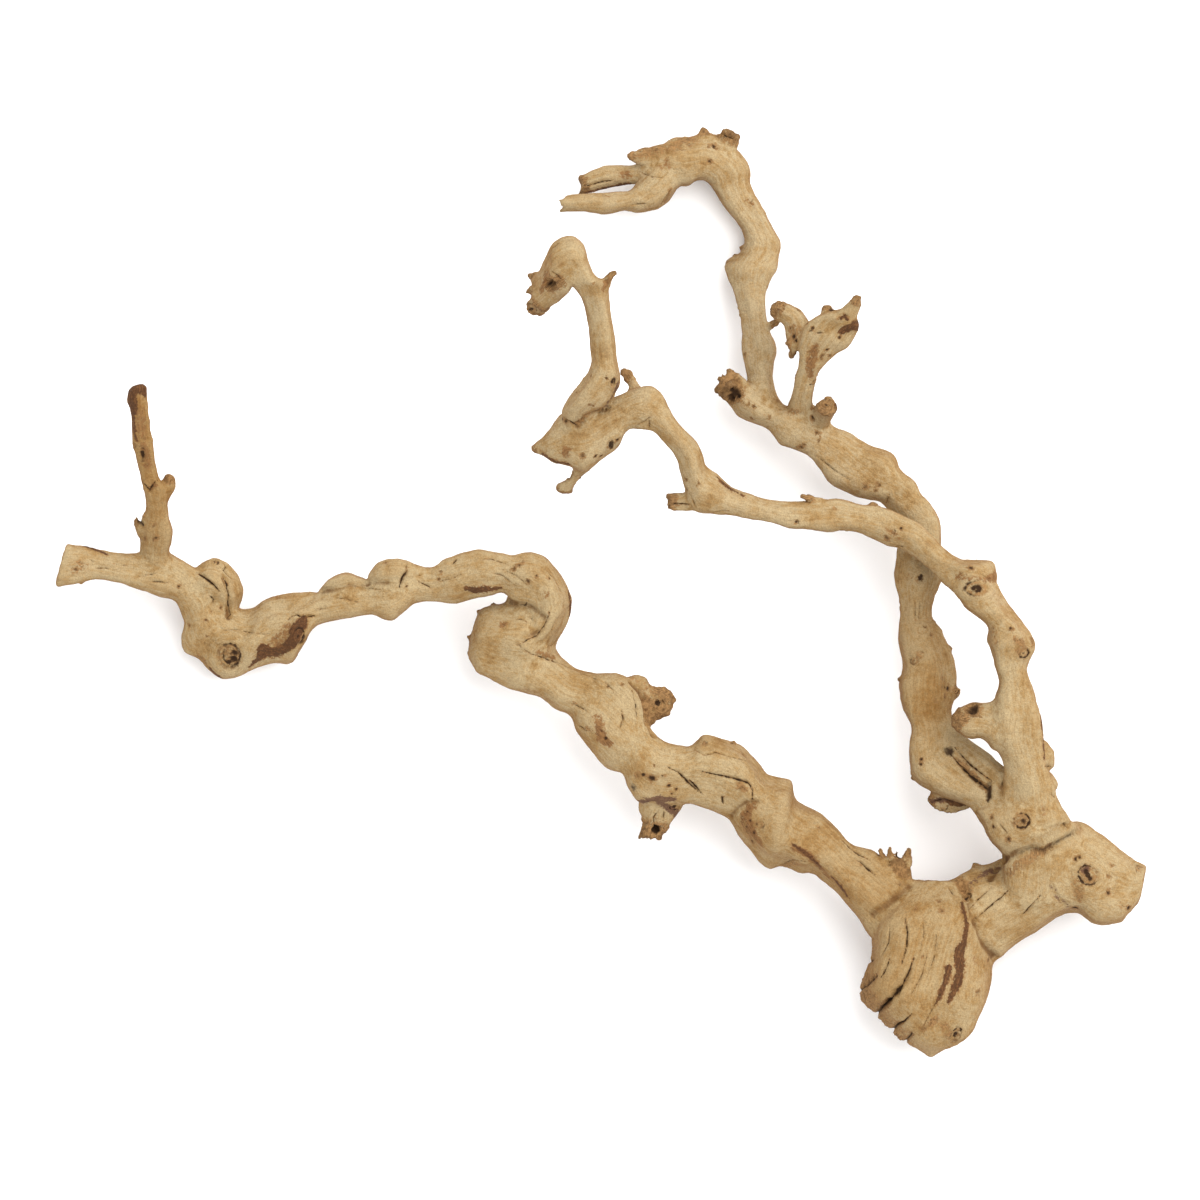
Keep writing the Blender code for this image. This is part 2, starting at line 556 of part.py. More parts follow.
cane = [
    (-261.0, 14.0, -241.0, 14.0, 31, 0.80),
    (-259.2, 22.0, -243.2, 22.0, 36, 0.95),
    (-259.0, 29.0, -241.8, 28.5, 41, 0.96),
    (-258.6, 36.0, -241.2, 35.0, 46, 0.96),
    (-255.8, 42.5, -242.8, 42.0, 51, 1.05),
    (-255.2, 50.0, -243.4, 49.0, 56, 1.05),
    (-256.6, 57.5, -243.6, 57.0, 61, 0.98),
    (-258.0, 65.0, -248.3, 64.5, 66, 1.05),
    (-260.2, 74.0, -250.0, 73.0, 71, 1.05),
    (-262.2, 83.0, -251.2, 82.5, 76, 1.05),
    (-262.4, 92.0, -253.0, 92.0, 81, 1.05),
    (-263.6, 101.0, -254.3, 101.0, 86, 1.05),
    (-265.8, 108.0, -254.4, 108.0, 90, 1.00),
    (-264.4, 112.6, -254.6, 113.4, 93, 0.95),
]

cane_nub = [
    (-252.0, 52.0, -243.0, 51.0, 57, 0.80),
    (-247.6, 59.5, -239.6, 57.5, 60, 0.90),
    (-245.4, 64.8, -239.4, 62.8, 63, 0.95),
]

cane_flakes = [
    [(-260.2, 32.0, -255.8, 32.0, 44, 0.8), (-261.7, 37.6, -258.7, 38.4, 48, 0.9),
     (-261.7, 42.2, -259.9, 42.4, 51, 0.9)],
    [(-258.6, 37.5, -253.5, 37.5, 49, 0.7), (-258.0, 41.8, -254.0, 42.6, 52, 0.8),
     (-256.6, 45.4, -254.0, 45.8, 54, 0.8), (-255.6, 47.2, -254.2, 47.4, 55, 0.9)],
]

heel_spur = [
    (162.0, -166.0, 173.0, -167.0, 42, 0.70),
    (162.2, -156.0, 172.0, -157.0, 45, 0.70),
    (160.0, -150.0, 172.2, -150.4, 46, 0.60),
]

heel_spur_tips = [
    [(155.8, -149.5, 160.4, -150.5, 45, 0.8), (154.6, -146.4, 157.8, -147.4, 46, 0.8),
     (153.6, -144.2, 155.6, -143.2, 46.5, 0.9)],
    [(159.4, -151.0, 163.8, -151.0, 46, 0.8), (158.4, -145.6, 161.8, -145.6, 48, 0.8),
     (158.8, -142.6, 160.8, -142.4, 49, 0.9)],
    [(163.0, -151.0, 167.2, -151.0, 46, 0.8), (163.2, -147.0, 166.0, -146.8, 47, 0.8),
     (163.4, -145.2, 165.2, -145.2, 48, 0.9)],
    [(166.8, -152.0, 172.2, -152.0, 46, 0.8), (168.4, -146.6, 172.2, -146.6, 48, 0.8),
     (169.6, -143.2, 171.2, -143.0, 50, 0.9)],
]

spur_teeth = [
    [(108.0, 134.0, 106.0, 140.0, 55, 0.8), (104.6, 130.8, 103.8, 133.6, 53, 0.9)],
    [(108.0, 136.0, 107.0, 141.0, 56, 0.8), (103.0, 136.2, 103.2, 138.4, 56, 0.9)],
    [(106.0, 138.0, 106.0, 143.0, 56, 0.8), (101.6, 138.6, 102.2, 140.8, 58, 0.9)],
]

red_thorn = [
    (88.0, 151.5, 89.0, 146.5, 22, 0.6),
    (92.5, 151.6, 93.4, 147.4, 24, 0.6),
    (97.6, 154.2, 98.6, 151.8, 28, 0.8),
]

arm_nub = [
    (190.0, -50.0, 190.0, -62.0, 42, 0.80),
    (195.4, -51.4, 195.4, -60.0, 42, 0.85),
    (198.6, -53.0, 198.2, -58.2, 42, 0.90),
]

crossing_nub = [
    (148.0, 44.0, 154.5, 43.0, 62, 0.8),
    (148.2, 50.2, 153.6, 49.6, 62, 0.8),
]

# Ends of a limb: buried in its neighbour, rounded over, broken off, or sawn.
# The number after each end is how far it stands out when rounded or broken, in units.
limb_plan = [
    (arm_and_long_limb, "sawn", 0, "buried", 0),
    (bend_lobe, "buried", 0, "round", 4),
    (first_hump, "round", 1, "round", 1),
    (second_hump, "round", 1, "buried", 0),
    (burl, "buried", 0, "round", 0.8),
    (side_spur, "buried", 0, "round", 1.5),
    (hollow_stub, "buried", 0, "broken", 2),
    (heel, "buried", 0, "round", 1.0),
    (bar, "buried", 0, "round", 1.0),
    (stem, "buried", 0, "buried", 0),
    (inner_arm, "buried", 0, "broken", 2),
    (far_arm, "buried", 0, "buried", 0),
    (lower_prong, "buried", 0, "broken", 1),
    (upper_prong, "buried", 0, "broken", 1),
    (prong_flake, "buried", 0, "round", 0.8),
    (far_nub, "buried", 0, "round", 1),
    (far_knob, "buried", 0, "round", 2),
    (spur_arm, "buried", 0, "round", 1),
    (spur_side_arm, "buried", 0, "round", 2),
    (spur_nub, "buried", 0, "round", 1),
    (stump, "buried", 0, "sawn", 0),
    (outer_arm, "buried", 0, "round", 1),
    (drooping_twig, "buried", 0, "round", 3.0),
    (hook_arm, "buried", 0, "broken", 1),
    (hook_tooth_upper, "buried", 0, "round", 1),
    (hook_tooth_middle, "buried", 0, "round", 1),
    (hook_tooth_lower, "buried", 0, "round", 1),
    (hook_thorn, "buried", 0, "round", 0.8),
    (arm_thorn, "buried", 0, "sawn", 0),
    (fork_stub, "buried", 0, "broken", 1),
    (splinter, "buried", 0, "round", 0.6),
    (arm_stub, "buried", 0, "round", 1.5),
    (grafted_branch, "buried", 0, "buried", 0),
    (flap_stub, "buried", 0, "round", 1),
    (outer_lump, "buried", 0, "round", 1.5),
    (lower_lump, "buried", 0, "round", 1),
    (cane, "buried", 0, "round", 4),
    (cane_nub, "buried", 0, "round", 2.5),
    (heel_spur, "buried", 0, "broken", 2),
    (red_thorn, "buried", 0, "round", 1),
    (arm_nub, "buried", 0, "round", 1),
    (crossing_nub, "buried", 0, "round", 1),
]

# Broken tips, teeth and flakes, each buried in the limb that it stands on
tips = broken_fins + side_spur_nubs + cane_flakes + heel_spur_tips + spur_teeth

# Hollows seen from above: x, y, radius, depth
hollows = [
    (-210.5, -36.0, 6.5, 6.0),
    (207.5, 3.0, 5.0, 4.5),
    (235.0, -34.0, 3.5, 2.2),
    (72.5, 111.0, 6.0, 6.5),
    (29.0, -130.5, 5.5, 5.0),
    (233.0, -126.0, 4.5, 1.6),
    (269.5, -157.5, 5.5, 2.0),
    (206.0, -65.0, 5.0, 4.0),
    (-29.0, 172.5, 7.0, 6.0),
    (177.0, 9.0, 3.2, 2.2),
    (197.0, -247.0, 4.5, 2.5),
    (191.5, -87.5, 3.5, 3.0),
    (-171.5, -26.0, 4.5, 2.4),
]

# Folds and deep cracks seen from above: width, depth, and the points of the line
folds = [
    (3.2, 3.4, [(193, -90), (200, -94.5), (207, -99.5), (213, -104), (216.5, -109), (216.5, -115)]),
    (3.0, 2.6, [(216, -159), (220, -153), (232, -145), (244, -143), (255, -139), (265, -134)]),
    (3.0, 2.6, [(-57, -1), (-51, -6), (-41, -8), (-33, -14), (-35, -20), (-42, -25), (-48, -29)]),
    (2.8, 2.4, [(-212, 9), (-209.5, 3), (-209, -3), (-209.5, -9), (-209.5, -13)]),
    (2.6, 1.6, [(-228, 12), (-222, 7.5), (-217, 3), (-214.5, 1)]),
    (2.8, 2.2, [(174, -206), (171, -214), (166, -222), (160, -229), (154, -235)]),
    (2.6, 1.6, [(-160, 1), (-150, 2), (-140, 4.5), (-130, 5.5), (-121, 5.5)]),
    (2.6, 2.0, [(48, 57), (50.5, 52), (53, 46.5)]),
    (2.4, 1.8, [(37, 50), (43, 50), (48, 49.6)]),
    (2.8, 2.0, [(15, -50), (20, -55), (23, -65), (26, -76), (33, -83)]),
    (2.6, 1.8, [(-21, 97), (-17, 93.5), (-12, 95), (-7, 100), (0, 103), (5, 107)]),
    (2.6, 1.6, [(183, -111), (188, -114.5), (200, -116.5)]),
]


def clear_scene():
    for old in list(bpy.data.objects):
        bpy.data.objects.remove(old, do_unlink=True)


def smooth_row(rows, step):
    # A smooth curve through the rows of a table, sampled at an even step along it.
    rows = np.array(rows, dtype=float)
    middles = np.column_stack([
        (rows[:, 0] + rows[:, 2]) / 2,
        (rows[:, 1] + rows[:, 3]) / 2,
        rows[:, 4],
    ])
    gaps = np.linalg.norm(np.diff(middles, axis=0), axis=1)
    spans = np.maximum(gaps, shortest_span)
    knots = np.concatenate([[0.0], np.cumsum(spans)])
    slopes = np.empty_like(rows)
    slopes[0] = (rows[1] - rows[0]) / spans[0]
    slopes[-1] = (rows[-1] - rows[-2]) / spans[-1]
    slopes[1:-1] = (rows[2:] - rows[:-2]) / (knots[2:] - knots[:-2])[:, None]
    samples = []
    for k, span in enumerate(spans):
        count = max(1, round(span / step))
        for j in range(count):
            t = j / count
            samples.append(
                (2 * t**3 - 3 * t**2 + 1) * rows[k]
                + (t**3 - 2 * t**2 + t) * span * slopes[k]
                + (3 * t**2 - 2 * t**3) * rows[k + 1]
                + (t**3 - t**2) * span * slopes[k + 1]
            )
    samples.append(rows[-1])
    return np.array(samples)


def fluted_section(along, seed):
    # A closed outline with long ridges, one wide and as high as its thickness allows.
    turns = np.arange(section_sides) * (2 * math.pi / section_sides)
    ridge = np.ones(section_sides)
    for count, height, turn, start in flutes:
        ridge += flute_depth * height * np.cos(count * (turns + turn * flute_twist * along) + start * seed)
    across = ridge * np.cos(turns)
    upward = ridge * np.sin(turns)
    across = 2 * (across - across.min()) / (across.max() - across.min()) - 1
    return across, upward


def section_frames(rows, step, seed):
    # The middle, the half width and the half thickness of each section, with its outline.
    samples = smooth_row(rows, step)
    left = samples[:, [0, 1, 4]]
    right = samples[:, [2, 3, 4]]
    middles = (left + right) / 2
    sideways = (left - right) / 2
    forward = np.gradient(middles, axis=0)
    forward /= np.linalg.norm(forward, axis=1)[:, None]
    square = np.cross(forward, sideways)
    square /= np.linalg.norm(square, axis=1)[:, None]
    steep = np.clip((np.abs(forward[:, 2]) - gentle_slope) / (steep_slope - gentle_slope), 0, 1)[:, None]
    plumb = np.array([0, 0, 1]) / np.maximum(square[:, 2:], gentle_slope)
    upward = (1 - steep) * plumb + steep * square
    half_height = np.linalg.norm(sideways, axis=1) * samples[:, 5]
    travelled = np.concatenate([[0.0], np.cumsum(np.linalg.norm(np.diff(middles, axis=0), axis=1))])
    return [
        (middles[k], sideways[k], upward[k] * half_height[k], forward[k], fluted_section(travelled[k], seed))
        for k in range(len(samples))
    ]


def ring_points(frame, grow, advance, roughness):
    # One section as points, swollen or shrunk, and moved along the limb.
    middle, sideways, upward, forward, (across, up) = frame
    points = middle + grow * (across[:, None] * sideways + up[:, None] * upward) + advance * forward
    if roughness:
        wobble = [
            sum(share * noise.noise(Vector(p) / size) for size, share in tear_sizes)
            for p in points
        ]
        points = points + forward * (roughness * np.array(wobble))[:, None]
    return points


def end_rings(frame, kind, reach, outward):
    # The rings that close a limb, from the last full section outwards.
    if kind == "round":
        angles = [math.radians(a) for a in round_end_angles]
        return [ring_points(frame, math.cos(a), outward * reach * math.sin(a), 0) for a in angles]
    if kind == "broken":
        return [
            ring_points(frame, grow, outward * (reach * share - sunk), roughness)
            for grow, share, sunk, roughness in broken_end_rings
        ]
    if kind == "sawn":
        return [ring_points(frame, grow, outward * stand, 0) for grow, stand in sawn_end_rings]
    return [ring_points(frame, buried_end_size, 0, 0)]


def make_limb(rows, first_end, first_reach, last_end, last_reach, seed):
    # A loft through unlike sections, extruded ring by ring and closed at both ends.
    frames = section_frames(rows, section_step / unit, seed)
    rings = end_rings(frames[0], first_end, first_reach, -1)[::-1]
    rings += [ring_points(frame, 1.0, 0, 0) for frame in frames]
    rings += end_rings(frames[-1], last_end, last_reach, 1)

    bm = bmesh.new()
    corners = [bm.verts.new(Vector(p) * unit) for p in rings[0]]
    bm.faces.new(corners[::-1])
    edges = [bm.edges.get((corners[k], corners[(k + 1) % section_sides])) for k in range(section_sides)]
    for ring in rings[1:]:
        made = bmesh.ops.extrude_edge_only(bm, edges=edges)["geom"]
        new_edges = {edge for edge in made if isinstance(edge, bmesh.types.BMEdge)}
        corners = [next(e.other_vert(c) for e in c.link_edges if e.other_vert(c) in made) for c in corners]
        for corner, point in zip(corners, ring):
            corner.co = Vector(point) * unit
        edges = [bm.edges.get((corners[k], corners[(k + 1) % section_sides])) for k in range(section_sides)]
        edges = [edge for edge in edges if edge in new_edges]
    bm.faces.new(corners)
    bmesh.ops.recalc_face_normals(bm, faces=bm.faces)
    mesh = bpy.data.meshes.new("limb")
    bm.to_mesh(mesh)
    bm.free()
    return mesh


def grow_together(meshes):
    # All limbs as one closed surface, the way overlapping wood grows together.
    bm = bmesh.new()
    for mesh in meshes:
        bm.from_mesh(mesh)
        bpy.data.meshes.remove(mesh)
    joined = bpy.data.meshes.new("joined_limbs")
    bm.to_mesh(joined)
    bm.free()
    holder = bpy.data.objects.new("joined_limbs", joined)
    bpy.context.scene.collection.objects.link(holder)
    remesh = holder.modifiers.new("grown_together", "REMESH")
    remesh.mode = "VOXEL"
    remesh.voxel_size = wood_grid
    whole = evaluated_mesh(holder)
    bpy.data.objects.remove(holder)
    return whole


def evaluated_mesh(obj):
    bpy.context.view_layer.update()
    graph = bpy.context.evaluated_depsgraph_get()
    return bpy.data.meshes.new_from_object(obj.evaluated_get(graph))


def vertex_array(mesh):
    flat = np.empty(len(mesh.vertices) * 3)
    mesh.vertices.foreach_get("co", flat)
    return flat.reshape(-1, 3)


def normal_array(mesh):
    flat = np.empty(len(mesh.vertices) * 3)
    mesh.vertex_normals.foreach_get("vector", flat)
    return flat.reshape(-1, 3)


def move_vertices(mesh, places):
    mesh.vertices.foreach_set("co", places.ravel())
    mesh.update()


def edge_array(mesh):
    flat = np.empty(len(mesh.edges) * 2, dtype=np.int32)
    mesh.edges.foreach_get("vertices", flat)
    return flat.reshape(-1, 2)


def neighbour_mean(places, edges, degree):
    total = np.zeros_like(places)
    for axis in range(3):
        total[:, axis] += np.bincount(edges[:, 0], places[edges[:, 1], axis], len(places))
        total[:, axis] += np.bincount(edges[:, 1], places[edges[:, 0], axis], len(places))
    return total / degree[:, None]


def fill_crotches(mesh):
    # Hollow creases fill up and ridges stay, as wood grows over a crotch.
    edges = edge_array(mesh)
    degree = np.bincount(edges.ravel(), minlength=len(mesh.vertices)).astype(float)
    places = vertex_array(mesh)
    places += first_smoothing * (neighbour_mean(places, edges, degree) - places)
    move_vertices(mesh, places)
    for _ in range(fillet_rounds):
        normals = normal_array(mesh)
        pull = neighbour_mean(places, edges, degree) - places
        lift = np.einsum("ij,ij->i", pull, normals)
        places += fillet_rate * np.maximum(lift, 0)[:, None] * normals
        move_vertices(mesh, places)


def ripple(mesh):
    # Gentle uneven growth over the whole surface.
    places = vertex_array(mesh)
    normals = normal_array(mesh)
    heights = np.array([noise.noise(Vector(p) / ripple_size) for p in places])
    move_vertices(mesh, places + normals * (swell + ripple_height * heights)[:, None])


def drop_onto(tree, x, y):
    # The highest point of the wood above a point of the plan, or none off its edge.
    start = Vector((x * unit, y * unit, 1.0))
    spot = tree.ray_cast(start, Vector((0, 0, -1)))[0]
    return None if spot is None else np.array(spot)


def distance_to(places, line):
    # From each place to the nearest point of a line, or to the one point it has.
    if len(line) == 1:
        return np.linalg.norm(places - line[0], axis=1)
    nearest = np.full(len(places), np.inf)
    for start, end in zip(line[:-1], line[1:]):
        run = end - start
        share = np.clip((places - start) @ run / (run @ run), 0, 1)
        nearest = np.minimum(nearest, np.linalg.norm(places - (start + share[:, None] * run), axis=1))
    return nearest


def carve(mesh):
    # Knot holes, hollow ends, folds and the deepest cracks, sunk into the surface.
    tree = BVHTree.FromPolygons([v.co for v in mesh.vertices], [p.vertices for p in mesh.polygons])
    places = vertex_array(mesh)
    normals = normal_array(mesh)
    marks = [(radius, depth, [(x, y)]) for x, y, radius, depth in hollows] + folds
    for width, depth, points in marks:
        spots = [drop_onto(tree, x, y) for x, y in points]
        line = [spot for spot in spots if spot is not None]
        if line:
            away = distance_to(places, line) / (width * unit)
            fade = np.clip(1 - away**2, 0, 1) ** fade_power
            places = places - normals * (depth * unit * fade)[:, None]
    move_vertices(mesh, places)


def thin_out(mesh):
    # Fewer triangles where the wood is plain.
    holder = bpy.data.objects.new("thinning", mesh)
    bpy.context.scene.collection.objects.link(holder)
    triangles = sum(len(p.vertices) - 2 for p in mesh.polygons)
    decimate = holder.modifiers.new("fewer_triangles", "DECIMATE")
    decimate.ratio = triangle_budget / triangles
    decimate.use_collapse_triangulate = True
    thin = evaluated_mesh(holder)
    bpy.data.objects.remove(holder)
    return thin


def drop_slivers(bm):
    # Keeps the one large body, without the two-sided slivers that thinning leaves.
    unseen = set(bm.verts)
    bodies = []
    while unseen:
        front = [unseen.pop()]
        body = set(front)
        while front:
            corner = front.pop()
            for edge in corner.link_edges:
                other = edge.other_vert(corner)
                if other in unseen:
                    unseen.remove(other)
                    body.add(other)
                    front.append(other)
        bodies.append(body)
    bodies.sort(key=len)
    slivers = [corner for body in bodies[:-1] for corner in body]
    bmesh.ops.delete(bm, geom=slivers, context="VERTS")


def flatten_feet(bm):
    # Cuts the three low points off level with the ground, then centres the plan on it.
    bmesh.ops.bisect_plane(
        bm, geom=bm.verts[:] + bm.edges[:] + bm.faces[:], dist=cut_tolerance,
        plane_co=(0, 0, 0), plane_no=(0, 0, 1), clear_inner=True)
    rims = [edge for edge in bm.edges if edge.is_boundary]
    bmesh.ops.holes_fill(bm, edges=rims)
    bmesh.ops.triangulate(bm, faces=bm.faces)
    bmesh.ops.recalc_face_normals(bm, faces=bm.faces)
    xs = [v.co.x for v in bm.verts]
    ys = [v.co.y for v in bm.verts]
    shift = Vector((-(min(xs) + max(xs)) / 2, -(min(ys) + max(ys)) / 2, 0))
    bmesh.ops.translate(bm, verts=bm.verts, vec=shift)


def stand_on_feet(mesh):
    bm = bmesh.new()
    bm.from_mesh(mesh)
    drop_slivers(bm)
    flatten_feet(bm)
    bm.to_mesh(mesh)
    bm.free()


def wood_material():
    wood = bpy.data.materials.new("sandblasted_grapewood")
    wood.use_nodes = True
    shader = wood.node_tree.nodes["Principled BSDF"]
    shader.inputs["Base Color"].default_value = (*wood_colour, 1)
    shader.inputs["Roughness"].default_value = wood_roughness
    shader.inputs["Metallic"].default_value = 0
    return wood


clear_scene()
limbs = [make_limb(*plan, seed=limb_turn * k) for k, plan in enumerate(limb_plan)]
limbs += [make_limb(rows, "buried", 0, "round", tip_reach, seed=tip_turn * k) for k, rows in enumerate(tips)]
wood = grow_together(limbs)
fill_crotches(wood)
ripple(wood)
carve(wood)
wood = thin_out(wood)
stand_on_feet(wood)
wood.name = "grapewood"
wood.materials.clear()
wood.materials.append(wood_material())
wood.shade_smooth()

grapewood = bpy.data.objects.new("grapewood", wood)
collection = bpy.data.collections.new("grapewood")
bpy.context.scene.collection.children.link(collection)
collection.objects.link(grapewood)
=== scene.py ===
import math
import random

import bmesh
import bpy
import numpy as np
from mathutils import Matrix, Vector, noise
from mathutils.bvhtree import BVHTree
from mathutils.kdtree import KDTree


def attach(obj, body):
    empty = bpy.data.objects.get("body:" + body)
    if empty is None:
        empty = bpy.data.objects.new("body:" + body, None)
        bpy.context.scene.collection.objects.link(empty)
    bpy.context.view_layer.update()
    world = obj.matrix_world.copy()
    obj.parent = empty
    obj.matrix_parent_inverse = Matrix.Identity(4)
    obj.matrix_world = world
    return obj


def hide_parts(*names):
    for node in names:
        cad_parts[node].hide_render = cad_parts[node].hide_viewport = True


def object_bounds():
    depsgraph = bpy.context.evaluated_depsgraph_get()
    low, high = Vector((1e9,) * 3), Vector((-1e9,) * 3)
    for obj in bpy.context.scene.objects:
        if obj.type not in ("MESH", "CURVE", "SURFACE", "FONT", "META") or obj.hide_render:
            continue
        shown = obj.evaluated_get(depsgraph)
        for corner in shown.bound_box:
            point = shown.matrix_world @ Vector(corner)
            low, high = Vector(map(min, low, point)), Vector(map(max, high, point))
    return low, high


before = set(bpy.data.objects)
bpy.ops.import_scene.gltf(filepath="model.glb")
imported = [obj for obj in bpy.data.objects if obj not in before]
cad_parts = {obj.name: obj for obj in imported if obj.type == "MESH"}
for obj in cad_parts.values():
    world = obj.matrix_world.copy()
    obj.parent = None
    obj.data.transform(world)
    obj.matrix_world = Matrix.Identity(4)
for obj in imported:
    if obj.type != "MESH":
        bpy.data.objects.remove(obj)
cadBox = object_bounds()
mm = 0.001          # the drawing's unit

# What a user would change about the shape of the wood, in drawing millimetres
woodShape = {
    "grid": 0.9,            # spacing of the surface before it is refined
    "sectionStep": 1.8,     # along a limb
    "sectionSides": 36,
    "triangles": 188000,
    "keptSpots": 34000,     # vertices at the edges of marks that thinning leaves alone
    "fluteDepth": 0.075,    # long ridges, as a share of the radius
    "fluteTwist": 0.011,    # radians per millimetre
    "gentleSlope": 0.60,
    "steepSlope": 0.85,
    "firstSmoothing": 0.5,
    "filletRounds": 55,
    "filletRate": 0.55,
    "rippleHeight": 0.8,
    "rippleSize": 15,
    "swell": 0.3,
    "lumpHeight": 0.35,     # smaller unevenness
    "lumpSize": 4.5,
    "grainHeight": 0.3,     # ridges along the grain
    "grainLength": 16,
    "grainWidth": 2.6,
    "tipLumps": 1.1,        # unevenness of broken ends
    "breakScales": (0.35, 0.9),     # coarse and fine unevenness of a broken rim, per millimetre
    "edgeWander": 0.45,     # how far the edges of marks stray
    "wanderScales": (0.8, 2.1),
    "driftScale": 0.45,     # slower changes in width and darkness along a mark
    "markStep": 2.5,        # how closely a mark's line is laid on the wood
    "fluteShift": 1.7,      # sets the ridges of one limb apart from the next
    "bendRounds": 12,       # smoothing that tells ridges from hollows
    "fullBend": 0.9,        # the height that counts as a full ridge or hollow
    "blendRounds": 10,      # how far the grain fades out round a crotch
    "seed": 7,
}

# Limbs: rows of left edge x, y, right edge x, y, height of the middle, thickness over width
armAndLongLimb = [
    (-299.6, 27.6, -305.2, 4.2, 36, 0.92), (-291, 26.8, -292.5, 5.8, 36, 0.92),
    (-281, 24, -283, 8, 35, 0.95), (-270, 22, -270, 6, 34, 0.98),
    (-258, 22.5, -259, 2.5, 32, 0.95), (-244, 22.5, -249, -1.8, 30, 0.92),
    (-236, 18, -240.2, -3.8, 28, 0.95), (-228.2, 13.2, -236.2, -11, 25, 0.92),
    (-219, 6, -234.3, -18, 22, 0.9), (-212, -4, -235.9, -26, 18.4, 0.92),
    (-208, -8, -234.2, -33, 17, 0.9), (-204, -9, -226.5, -36.2, 16.2, 0.92),
    (-201, -9.2, -220.4, -43.2, 15.8, 0.88), (-198.5, -8.6, -213.5, -47.5, 16, 0.86),
    (-196, -9.4, -206, -46.4, 16.8, 0.86), (-190, -4.6, -196, -42, 20, 0.84),
    (-182, -1.5, -184, -38.5, 23, 0.84), (-174.5, -0.4, -174.6, -38.8, 26, 0.8),
    (-169.5, 0, -169.8, -31, 28.5, 0.88), (-165, 0.2, -165, -23, 30, 0.98),
    (-160.5, 0.5, -161, -18, 32, 1.02), (-150, 1.6, -150, -14.8, 35, 1.05),
    (-140, 4, -140, -13, 37, 1.05), (-130, 6, -130, -11.4, 39, 1.02),
    (-120, 10, -119.5, -15.2, 40, 0.95), (-112, 14, -112, -10.8, 41, 0.92),
    (-104, 15.1, -105, -5.2, 42, 1.0), (-96, 14.2, -96, -4.8, 43, 1.02),
    (-88.5, 18.6, -88, -5.5, 44, 0.95), (-84, 20, -83.5, -5.4, 45, 0.95),
    (-79, 22.1, -79, -4.8, 46, 0.92), (-70, 24.4, -70, -2.8, 49, 0.9),
    (-62, 22.8, -62, -1.2, 52, 0.92), (-56.6, 21.8, -56.6, 0.7, 53, 0.92),
    (-51, 20.9, -51.4, -3.6, 54, 0.9), (-42, 22.7, -43, -6, 55, 0.86),
    (-32.5, 20, -39, -8, 55, 0.84), (-23.8, 10.6, -38.5, -12, 54, 0.86),
    (-17.9, -3, -41, -17, 51, 0.84), (-19.9, -15, -47, -28, 47, 0.8),
    (-26.6, -27.4, -52, -38, 43, 0.8), (-27, -31.4, -46, -54, 41, 0.84),
    (-22.9, -36.8, -35, -57.6, 40, 0.95), (-14, -42.7, -26.6, -64.7, 41, 0.92),
    (-5, -44.8, -17.6, -68.6, 42, 0.92), (3, -44.8, -14.8, -77.5, 43, 0.86),
    (12, -46.4, -5.6, -89.2, 44, 0.8), (19, -54, 1, -97, 44, 0.82),
    (23, -65, 11, -101, 45, 0.92), (25.8, -75, 14.2, -108.6, 45, 0.98),
    (32.3, -82.2, 19.6, -116.4, 45, 0.92), (40.7, -84.8, 31, -118.5, 45, 0.92),
    (49, -85.1, 47.5, -117, 44, 0.92), (56.5, -79.3, 57, -120, 43, 0.82),
    (67.3, -82, 66.5, -123.6, 42, 0.8), (76.8, -85.4, 70.5, -126.6, 41, 0.8),
    (85, -92.2, 76, -135.3, 40, 0.8), (91.2, -100.8, 82.5, -143.2, 40, 0.8),
    (98.6, -103.4, 88, -151, 40, 0.76), (104.8, -105, 93.6, -153.8, 40, 0.78),
    (105.9, -110.5, 99, -152.3, 39, 0.8), (107, -115, 104.5, -153.4, 39, 0.84),
    (113, -119.2, 110, -156.4, 38, 0.86), (121.4, -123.6, 117.5, -156.6, 38, 0.92),
    (130.8, -131.9, 126.7, -163.2, 38, 0.95), (139.4, -140.8, 134.9, -171.2, 38, 0.98),
    (150, -144.2, 141.5, -180, 38, 0.92), (162, -152, 149, -191, 38, 0.86),
    (176, -162, 156, -200, 38, 0.8),
]

bendLobe = [
    (-228.6, 12.6, -235, -4, 25, 0.95), (-222, 18.6, -226, -3, 26, 0.95),
    (-214.5, 19.2, -219, -5, 26, 0.92), (-206.5, 13.5, -217, -7, 25, 0.95),
    (-202.3, 4, -215.5, -8, 24, 1.0), (-202.2, -3, -214.5, -11, 22, 1.0),
    (-204.5, -8, -213, -14, 20, 1.0),
]

firstHump = [
    (-158.5, 2.4, -158.5, -3, 34, 0.9), (-154, 7.4, -154, -4, 35, 0.9),
    (-148.5, 10.2, -148.5, -5, 36, 0.9), (-142.5, 11.4, -142.5, -5, 37, 0.9),
    (-136.5, 9.3, -136.5, -4, 38, 0.9), (-132.5, 7, -132.5, -2, 39, 0.9),
]

secondHump = [
    (-131, 10, -131, -1, 41, 0.9), (-127.5, 15.6, -127, 0, 42, 0.9),
    (-121.5, 18.7, -120, 0, 44, 0.9), (-114, 18.9, -113, 0, 45, 0.9),
    (-107.5, 17, -107, 0, 45, 0.9), (-101.5, 14.8, -101, 1, 44, 0.9),
]

burl = [
    (-34, -58, -29, -12, 41, 0.78), (-46, -54.5, -42, -6, 40, 0.84),
    (-57, -50.6, -55, -6, 39, 0.88), (-65, -46.8, -63.4, -7.2, 38, 0.9),
    (-71.2, -43.4, -69.6, -10.6, 37, 0.9), (-74.6, -36.8, -73.2, -22.4, 36, 0.95),
]

